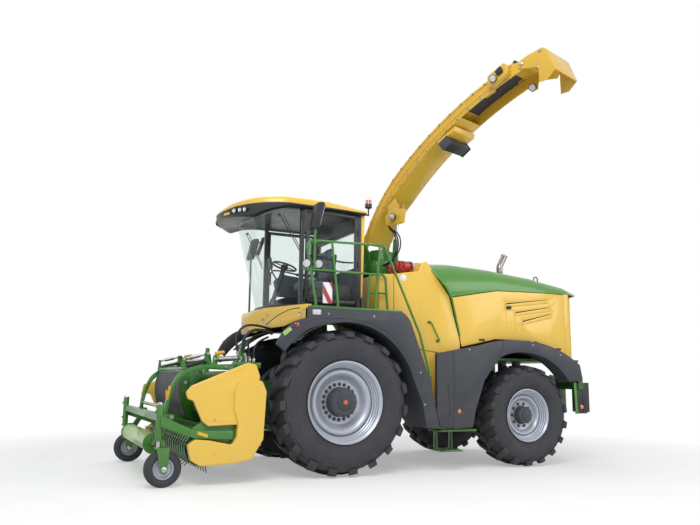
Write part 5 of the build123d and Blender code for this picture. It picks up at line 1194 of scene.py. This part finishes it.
def dressChute():
    look = chuteLook
    bolts = []
    for side in (1, -1):
        rims = [(p, 0.266) for p in edgePoints(chuteOuter, -0.015, look["boltPitch"])]
        rims += [(p, 0.252) for p in edgePoints(chuteInner, 0.022, look["boltPitch"])]
        places = [onChute(p[0], p[1], side * aside) for p, aside in rims if p[1] > 3.8]
        bolts.append(boltsAt(places, chuteDirection(0, 0, side), look["boltSize"]))
    finishPiece(joinAll(bolts), "chute_flange_bolts", zincSteel, "chute")
    # stiffening beads along both cheeks and the seams between the sheets
    beads = []
    for side in (1, -1):
        for arcs, inward, radius in ((chuteInner, 0.03, 0.006), (chuteOuter, -0.115, 0.016)):
            path = [onChute(x, z, side * 0.252) for x, z in edgePoints(arcs, inward, 0.12)]
            beads.append(tubePiece(path, radius, 0))
        for low, high in (((0.555, 4.175), (0.585, 4.40)), ((1.36, 4.80), (1.27, 4.92))):
            beads.append(tubePiece([onChute(*low, side * 0.253), onChute(*high, side * 0.253)], 0.009, 0))
    finishPiece(joinAll(beads), "chute_beads", enamelChute, "chute")
    # rubber liner against the back of the duct's open end
    liner = [(x, z) for x, z in edgePoints(chuteOuter[1:], -0.012, 0.1) if 1.85 < x < 2.8]
    liner += [(x, z) for x, z in edgePoints(chuteOuter[1:], -0.024, 0.1) if 1.85 < x < 2.8][::-1]
    finishPiece(chutePanel(liner, 0.235, 0.47, 0), "chute_liner", sheetRubber, "chute")
    # control box below the duct and lamp housings on its cheek
    box = chutePanel(roundedOutline([(1.54, 4.80), (1.70, 4.89), (1.78, 4.77), (1.62, 4.68)], 0.02), 0.27, 0.46, 0.01)
    ends = [chutePanel(roundedOutline([(1.53, 4.80), (1.70, 4.90), (1.79, 4.77), (1.62, 4.67)], 0.02), aside, 0.014,
                       0.003) for aside in (0.282, -0.19)]
    seat = chutePanel([(1.48, 4.845), (1.84, 5.01), (1.82, 4.94), (1.70, 4.885), (1.55, 4.805)], 0.262, 0.50, 0.004)
    housing = chutePanel(roundedOutline([(2.50, 5.44), (2.54, 5.38), (2.84, 5.50), (2.83, 5.62), (2.78, 5.68),
                                         (2.50, 5.56)], 0.03), 0.35, 0.10, 0.012)
    plate = chutePanel(roundedOutline([(0.44, 3.68), (0.82, 3.68), (0.86, 3.90), (0.60, 3.96), (0.42, 3.84)], 0.03),
                       0.285, 0.03, 0.006)
    stay = chutePanel([(0.46, 3.84), (0.70, 3.94), (0.62, 4.12), (0.46, 4.02)], 0.262, 0.012, 0.002)
    finishPiece(box, "chute_box", blackPlastic, "chute")
    finishPiece(joinAll(ends), "chute_box_ends", castIron, "chute")
    hook = chutePanel([(2.90, 5.44), (3.04, 5.50), (3.02, 5.36), (2.92, 5.34)], -0.14, 0.012, 0.002)
    finishPiece(joinAll([plate, stay, housing, seat, hook]), "chute_lamp_plate", enamelChute, "chute")
    bowl = [(0, -0.06), (0.03, -0.06), (0.05, -0.02), (0.056, 0.006), (0.052, 0.012), (0.047, 0.004), (0, 0.0)]
    glass = [(0, 0.0), (0.046, 0.0), (0.046, 0.007), (0.03, 0.012), (0, 0.013)]
    aims = [(onChute(0.64, 3.80, 0.35), chuteDirection(0.15, -0.2, 1)),
            (onChute(2.63, 5.47, 0.40), chuteDirection(0.3, -0.4, 1)),
            (onChute(2.97, 5.38, -0.08), chuteDirection(0.3, -0.6, 1))]
    block = chutePanel(roundedOutline([(2.66, 5.56), (2.70, 5.50), (2.78, 5.54), (2.75, 5.62)], 0.01), 0.40,
                       0.07, 0.008)
    finishPiece(block, "chute_lamp_block", blackPlastic, "chute")
    finishPiece(joinAll([lathePiece(p, d, bowl, 24) for p, d in aims]), "chute_lamp_bowls", blackPlastic, "chute")
    finishPiece(joinAll([lathePiece(p, d, glass, 24) for p, d in aims]), "chute_lamp_lenses", clearLens, "chute")
    # lever and link that swing the end flap
    levers = [chutePanel([(2.66, 5.56), (2.78, 5.61), (2.90, 5.69), (2.87, 5.715), (2.81, 5.70)], side * 0.19 + 0.006,
                         0.012, 0.003) for side in (1, -1)]
    link = barPiece(onChute(2.86, 5.70, 0.15), onChute(2.97, 5.70, 0.15), 0.014, 14)
    barrel = barPiece(onChute(2.30, 5.50, 0), onChute(2.68, 5.66, 0), 0.028, 20, 0.004)
    rod = barPiece(onChute(2.66, 5.655, 0), onChute(2.86, 5.70, 0), 0.014, 14)
    cross = barPiece(onChute(2.87, 5.70, -0.21), onChute(2.87, 5.70, 0.21), 0.028, 20, 0.004)
    foot = chutePanel([(2.22, 5.42), (2.40, 5.48), (2.34, 5.55), (2.27, 5.53)], 0.03, 0.06, 0.003)
    finishPiece(cross, "chute_flap_shaft", castIron, "chute")
    finishPiece(joinAll([*levers, link, barrel, foot]), "chute_flap_linkage", enamelChute, "chute")
    finishPiece(rod, "chute_flap_rod", chromedSteel, "chute")
    hinges = [lathePiece(onChute(3.02, 5.60, side * 0.275), chuteDirection(0, 0, side),
                         [(0, -0.006), (0.03, -0.006), (0.03, 0.006), (0.02, 0.014), (0, 0.016)], 20)
              for side in (1, -1)]
    finishPiece(joinAll(hinges), "chute_hinge_bolts", zincSteel, "chute_deflector")
    tips = [lathePiece(onChute(3.33, 5.69, side * 0.291), chuteDirection(0, 0, side),
                       [(0, -0.006), (0.026, -0.006), (0.026, 0.006), (0.018, 0.013), (0, 0.015)], 20)
            for side in (1, -1)]
    finishPiece(joinAll(tips), "chute_tip_bolts", zincSteel, "chute_deflector_tip")


def dressChuteFoot():
    # slewing ring's bolts and the hoses that loop round the lift cylinder
    ring = boltRing(at(-1.25, 0, 3.142), upright, 0.27, 16, 0.026)
    finishPiece(ring, "turntable_bolts", zincSteel, "chute_slew")
    hoses = []
    for index in range(3):
        spread = 0.05 * index
        hoses.append(hosePiece([onChute(0.30, 3.06, 0.12 + spread), onChute(0.46 + spread, 3.10, 0.16 + spread),
                                onChute(0.60 + spread, 3.30, 0.20), onChute(0.56 + spread, 3.55, 0.20),
                                onChute(0.44, 3.66, 0.22), onChute(0.42, 3.80, 0.262)],
                               chuteLook["hoseRadius"]))
    hoses = joinAll(hoses)
    finishPiece(hoses, "chute_foot_hoses", hoseRubber, None)
    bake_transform(hoses)


dressChute()
dressChuteFoot()
print("stage: chute")

# rear hood, exhaust, extinguishers and tail
hoodLook = {"exhaust": (-3.56, 0.38, 3.42), "strapX": (-1.115, -1.245)}
louvres = [((-2.790, 2.420), (-3.590, 2.520)), ((-2.970, 2.290), (-3.650, 2.400)), ((-3.110, 2.160), (-3.660, 2.290))]


def dressHood():
    # black sheet behind the slots: painted shade of the dark space under the hood
    shadeSheet = sidePanel([(-2.72, 2.06), (-3.70, 2.14), (-3.74, 2.59), (-2.70, 2.50)], 1.390, 0.006, 0.001)
    bars = []
    for (frontX, frontZ), (rearX, rearZ) in louvres:
        bars.append(barPiece(at(frontX, 1.394, frontZ), at(rearX, 1.394, rearZ), 0.006, 8, 0))
        # rolled lip round each slot
        run = Vector((rearX - frontX, 0, rearZ - frontZ)).normalized()
        side = Vector((-run.z, 0, run.x)) * 0.024
        low, high = at(frontX, 1.4, frontZ), at(rearX, 1.4, rearZ)
        bars.append(tubePiece([low - side, high - side, high - side * 0.3 + run * 0.026, high + side, low + side,
                               low + side * 0.3 - run * 0.026, low - side],
                              0.0045, 0.02, 2))
    covers = []
    for (frontX, frontZ), (rearX, rearZ) in louvres:
        run = Vector((rearX - frontX, 0, rearZ - frontZ)).normalized()
        side = Vector((-run.z, 0, run.x))
        side *= math.copysign(1, side.z)
        ends = [at(frontX, 1.3985, frontZ) - run * 0.03, at(rearX, 1.3985, rearZ) + run * 0.03]
        outline = [ends[0] - side * 0.030, ends[1] - side * 0.030, ends[1] + side * 0.022, ends[0] + side * 0.010]
        covers.append(panelPiece([(p.x, p.z) for p in outline], (0, 1.4135, 0), forward, upright, 0.014, 0.005))
    bothSides(covers, "flap_louvres", enamelYellow, hoodFlaps)
    # black bars and lips in the slots, with the sheet of painted shade behind them
    bothSides([shadeSheet, *bars], "louvre_inserts_and_painted_shade", blackPlastic, hoodFlaps)
    # shallow upright pressings below the front ends of the slots
    presses = [tubePiece([at(x, 1.3985, top), at(x - 0.02, 1.3985, low)], 0.008, 0, 2) for x, top, low in
               ((-2.76, 2.39, 2.12), (-2.93, 2.26, 2.02), (-3.07, 2.13, 1.95))]
    bothSides(presses, "flap_pressings", enamelYellow, hoodFlaps)
    camera = blockPiece(at(-2.86, 1.399, 2.355), at(-2.78, 1.43, 2.405), 0.008)
    eye = lathePiece(at(-2.835, 1.43, 2.38), leftward,
                     [(0, 0), (0.016, 0), (0.018, 0.010), (0.012, 0.012), (0, 0.008)], 16)
    bothSides([camera, eye], "flap_camera", blackPlastic, hoodFlaps)
    latches = [blockPiece(at(x - 0.05, 1.399, z - 0.015), at(x + 0.05, 1.412, z + 0.015), 0.005)
               for x, z in ((-2.30, 1.86), (-3.80, 1.76))]
    bothSides(latches, "flap_latches", blackPlastic, hoodFlaps)
    # edge trim where the hood meets the front panels, and the crease along its shoulder
    trim = tubePiece([at(-1.90, 1.402, 1.90), at(-1.760, 1.402, 2.485), at(-1.66, 1.395, 2.64), at(-1.50, 1.27, 2.90),
                      at(-1.435, 1.10, 3.003), at(-1.40, 0.62, 3.07)], 0.014, 0.06, 2)
    bothSides([trim], "hood_front_trim", enamelGreen)
    hooks = tubePiece([at(-3.72, 0.95, 2.90), at(-3.72, 0.95, 2.985), at(-3.80, 0.95, 2.985), at(-3.80, 0.95, 2.88)],
                      0.011, 0.035, 2)
    bothSides([hooks], "lifting_eye", enamelDeepGreen)


def dressExhaust():
    x, y, z = hoodLook["exhaust"]
    along = Vector((-0.11, 0, 0.20)).normalized()
    lip = lathePiece(at(x, y, z), along, [(0.048, -0.020), (0.056, -0.020), (0.060, -0.006), (0.058, 0.006),
                                          (0.052, 0.008), (0.048, 0.002)], 32)
    ribs = [lathePiece(at(-3.45, 0.38, level), upright,
                       [(0.053, -0.008), (0.060, -0.006), (0.062, 0.0), (0.060, 0.006), (0.053, 0.008)], 32)
            for level in (3.075, 3.115)]
    finishPiece(joinAll([lip, *ribs]), "exhaust_lip", stainlessSteel)
    # black disc across the pipe's mouth: soot, and painted shade of the hollow pipe behind it
    mouth = lathePiece(at(x, y, z), along,
                       [(0, 0.0005), (0.0475, 0.0005), (0.0475, 0.003), (0.03, 0.002), (0, 0.002)], 32)
    finishPiece(mouth, "exhaust_mouth_soot_and_shade", blackPlastic)


def dressExtinguishers():
    straps, collars, heads = [], [], []
    for y in (1.01, 0.76):
        for x in hoodLook["strapX"]:
            straps.append(lathePiece(at(x, y, 2.965), forward,
                                     [(0.074, -0.014), (0.078, -0.012), (0.078, 0.012), (0.074, 0.014)], 36))
        collars.append(lathePiece(at(-1.29, y, 2.965), (-1, 0, 0), [(0, -0.004), (0.068, -0.004), (0.072, 0.004),
                                                                    (0.060, 0.03), (0.03, 0.04), (0, 0.042)], 32))
        heads.append(lathePiece(at(-1.03, y, 2.965), forward, [(0, 0), (0.024, 0), (0.026, 0.012), (0.016, 0.018),
                                                               (0.014, 0.035), (0.008, 0.04), (0, 0.04)], 20))
        heads.append(blockPiece(at(-1.02, y - 0.008, 2.985), at(-0.98, y + 0.008, 3.0), 0.003))
    finishPiece(joinAll(straps), "extinguisher_straps", blackPlastic)
    finishPiece(joinAll(collars), "extinguisher_collars", whitePlate)
    finishPiece(joinAll(heads), "extinguisher_valves", blackPlastic)


def dressTail():
    # lamp clusters behind, mesh behind the slats, number plate left blank
    def rearPlate(y, z, width, height, depth):
        return panelPiece(roundedOutline([(-width / 2, -height / 2), (width / 2, -height / 2), (width / 2, height / 2),
                                          (-width / 2, height / 2)], 0.012),
                          at(-4.386, y, z), (0, -1, 0), upright, depth, 0.003)
    for name, material, level, height in (("brake", redLens, 1.12, 0.13), ("turn", amberLens, 0.985, 0.10),
                                          ("reverse", clearLens, 0.87, 0.09)):
        bothSides([rearPlate(1.30, level, 0.17, height, 0.012)], f"tail_lamp_{name}", material)
    hoops = []
    for index in range(15):
        y = -0.77 + 0.11 * index
        hoops.append(blockPiece(at(-4.385, y - 0.002, 1.80), at(-4.380, y + 0.002, 2.47), 0))
    finishPiece(joinAll(hoops), "grille_wires", blackPlastic)
    # side of the rear lamp box: green edge, black cover, amber reflector
    flange = sidePanel([(-4.085, 1.235), (-4.13, 1.235), (-4.15, 0.735), (-4.105, 0.735)], 1.415, 0.02, 0.003)
    bothSides([flange], "tail_box_flange", enamelGreen)
    cover = sidePanel([(-4.128, 1.225), (-4.345, 1.225), (-4.345, 0.74), (-4.148, 0.74)], 1.416, 0.024, 0.004)
    bothSides([cover], "tail_box_cover", blackPlastic)
    lens = lathePiece(at(-4.225, 1.416, 0.845), leftward,
                      [(0, -0.004), (0.030, -0.004), (0.032, 0.004), (0.024, 0.009), (0, 0.010)], 24)
    bothSides([lens], "tail_box_reflector", amberLens)
    plate = sidePanel(roundedOutline([(-4.02, 1.36), (-4.36, 1.30), (-4.36, 0.76), (-4.18, 0.76), (-4.06, 0.96)], 0.03),
                      0.92, 0.02, 0.003)
    bothSides([plate], "tail_side_plate", enamelFrame)
    knobs = boltsAt([at(-4.40, side * 0.835, z) for side in (1, -1) for z in (1.80, 2.13, 2.47)], (-1, 0, 0), 0.026)
    finishPiece(knobs, "grille_fixings", zincSteel)


dressHood()
dressExhaust()
dressExtinguishers()
dressTail()
print("stage: hood")

# floor, light and camera
setLook = {"floorHex": "#F4F4F2", "fadeStart": 5.2, "fadeEnd": 8.5, "worldLight": 0.46, "glossShare": 0.85}
cameraLook = {"place": (4.075, 10.147, 1.262), "yaw": 25.304, "pitch": 9.455, "roll": 0.657, "lens": 35.68,
              "sensor": 36.0}


def seenShare(tree):
    # 1 where the camera looks straight or through glass, less in a mirrored ray, 0 for light that falls on the machine
    path = addNode(tree, "ShaderNodeLightPath")
    direct = addNode(tree, "ShaderNodeMath", {"operation": "MAXIMUM"},
                     {0: path.outputs["Is Camera Ray"], 1: path.outputs["Is Transmission Ray"]})
    glossy = addNode(tree, "ShaderNodeMath", {"operation": "MULTIPLY", 1: setLook["glossShare"]},
                     {0: path.outputs["Is Glossy Ray"]})
    return addNode(tree, "ShaderNodeMath", {"operation": "MAXIMUM"},
                   {0: direct.outputs[0], 1: glossy.outputs[0]}).outputs[0]


def makeSet():
    floor = added(bpy.ops.mesh.primitive_plane_add, size=120, location=(3.5, 0, floorLevel - 0.001))
    floor.name = "studioFloor"
    applyPlace(floor)
    material, tree, coords = newMaterial("sealedConcreteWhite")
    clouds = addNode(tree, "ShaderNodeTexNoise", {"Scale": 1.5, "Detail": 4.0}, {"Vector": coords})
    pale = addNode(tree, "ShaderNodeMix",
                   {"data_type": "RGBA", 6: linearColour(setLook["floorHex"]), 7: linearColour("#FFFFFF")},
                   {0: clouds.outputs[0]})
    matt = addNode(tree, "ShaderNodeBsdfDiffuse", links={"Color": pale.outputs[2]})
    white = addNode(tree, "ShaderNodeEmission", {"Color": (1, 1, 1, 1), "Strength": 1.0})
    centred = addNode(tree, "ShaderNodeMapping", {1: (-3.7, 0, -floorLevel)}, {0: coords})
    reach = addNode(tree, "ShaderNodeVectorMath", {"operation": "LENGTH"}, {0: centred.outputs[0]})
    fade = addNode(tree, "ShaderNodeMapRange", {1: setLook["fadeStart"], 2: setLook["fadeEnd"], 3: 0.35, 4: 1.0},
                   {0: reach.outputs[1]})
    share = addNode(tree, "ShaderNodeMath", {"operation": "MULTIPLY"}, {0: fade.outputs[0], 1: seenShare(tree)})
    shader = addNode(tree, "ShaderNodeMixShader", links={0: share.outputs[0], 1: matt.outputs[0], 2: white.outputs[0]})
    finishMaterial(tree, shader)
    floor.data.materials.append(material)

    world = bpy.data.worlds.new("softboxRoom")
    bpy.context.scene.world = world
    world.use_nodes = True
    tree = world.node_tree
    tree.nodes.clear()
    ambient = addNode(tree, "ShaderNodeBackground",
                      {"Color": linearColour("#F2F5FA"), "Strength": setLook["worldLight"]})
    backdrop = addNode(tree, "ShaderNodeBackground", {"Color": (1, 1, 1, 1), "Strength": 1.0})
    mixed = addNode(tree, "ShaderNodeMixShader",
                    links={0: seenShare(tree), 1: ambient.outputs[0], 2: backdrop.outputs[0]})
    addNode(tree, "ShaderNodeOutputWorld", links={"Surface": mixed.outputs[0]})

    # name, place, aim, size, power
    lampTable = [
        ("keyPanel", (9.5, 9.0, 9.0), (3.6, 0, 1.2), 6.0, 860.0),
        ("sidePanel", (-4.0, 10.0, 6.0), (3.0, 0, 1.0), 7.0, 400.0),
        ("topPanel", (3.0, -3.0, 11.0), (3.4, 0, 1.0), 8.0, 380.0),
    ]
    for name, place, aim, size, power in lampTable:
        data = bpy.data.lights.new(name, "AREA")
        data.shape, data.size, data.energy = "SQUARE", size, power
        lamp = bpy.data.objects.new(name, data)
        bpy.context.scene.collection.objects.link(lamp)
        lamp.location = place
        lamp.rotation_euler = (Vector(aim) - Vector(place)).to_track_quat("-Z", "Y").to_euler()

    # the camera stands at the machine's left front, low, looking slightly up
    yaw, pitch, roll = (math.radians(cameraLook[key]) for key in ("yaw", "pitch", "roll"))
    ahead = Vector((-math.sin(yaw) * math.cos(pitch), -math.cos(yaw) * math.cos(pitch), math.sin(pitch)))
    right = ahead.cross(Vector(upright)).normalized()
    up = right.cross(ahead)
    right, up = right * math.cos(roll) + up * math.sin(roll), up * math.cos(roll) - right * math.sin(roll)
    data = bpy.data.cameras.new("standpoint")
    data.lens, data.sensor_width = cameraLook["lens"], cameraLook["sensor"]
    camera = bpy.data.objects.new("standpoint", data)
    bpy.context.scene.collection.objects.link(camera)
    stand, turn = Matrix.Translation(at(*cameraLook["place"])), Matrix((right, up, -ahead)).transposed().to_4x4()
    camera.matrix_world = stand @ turn
    bpy.context.scene.camera = camera
    bpy.context.scene.view_settings.view_transform = "Standard"


makeSet()
print("stage: set ready")
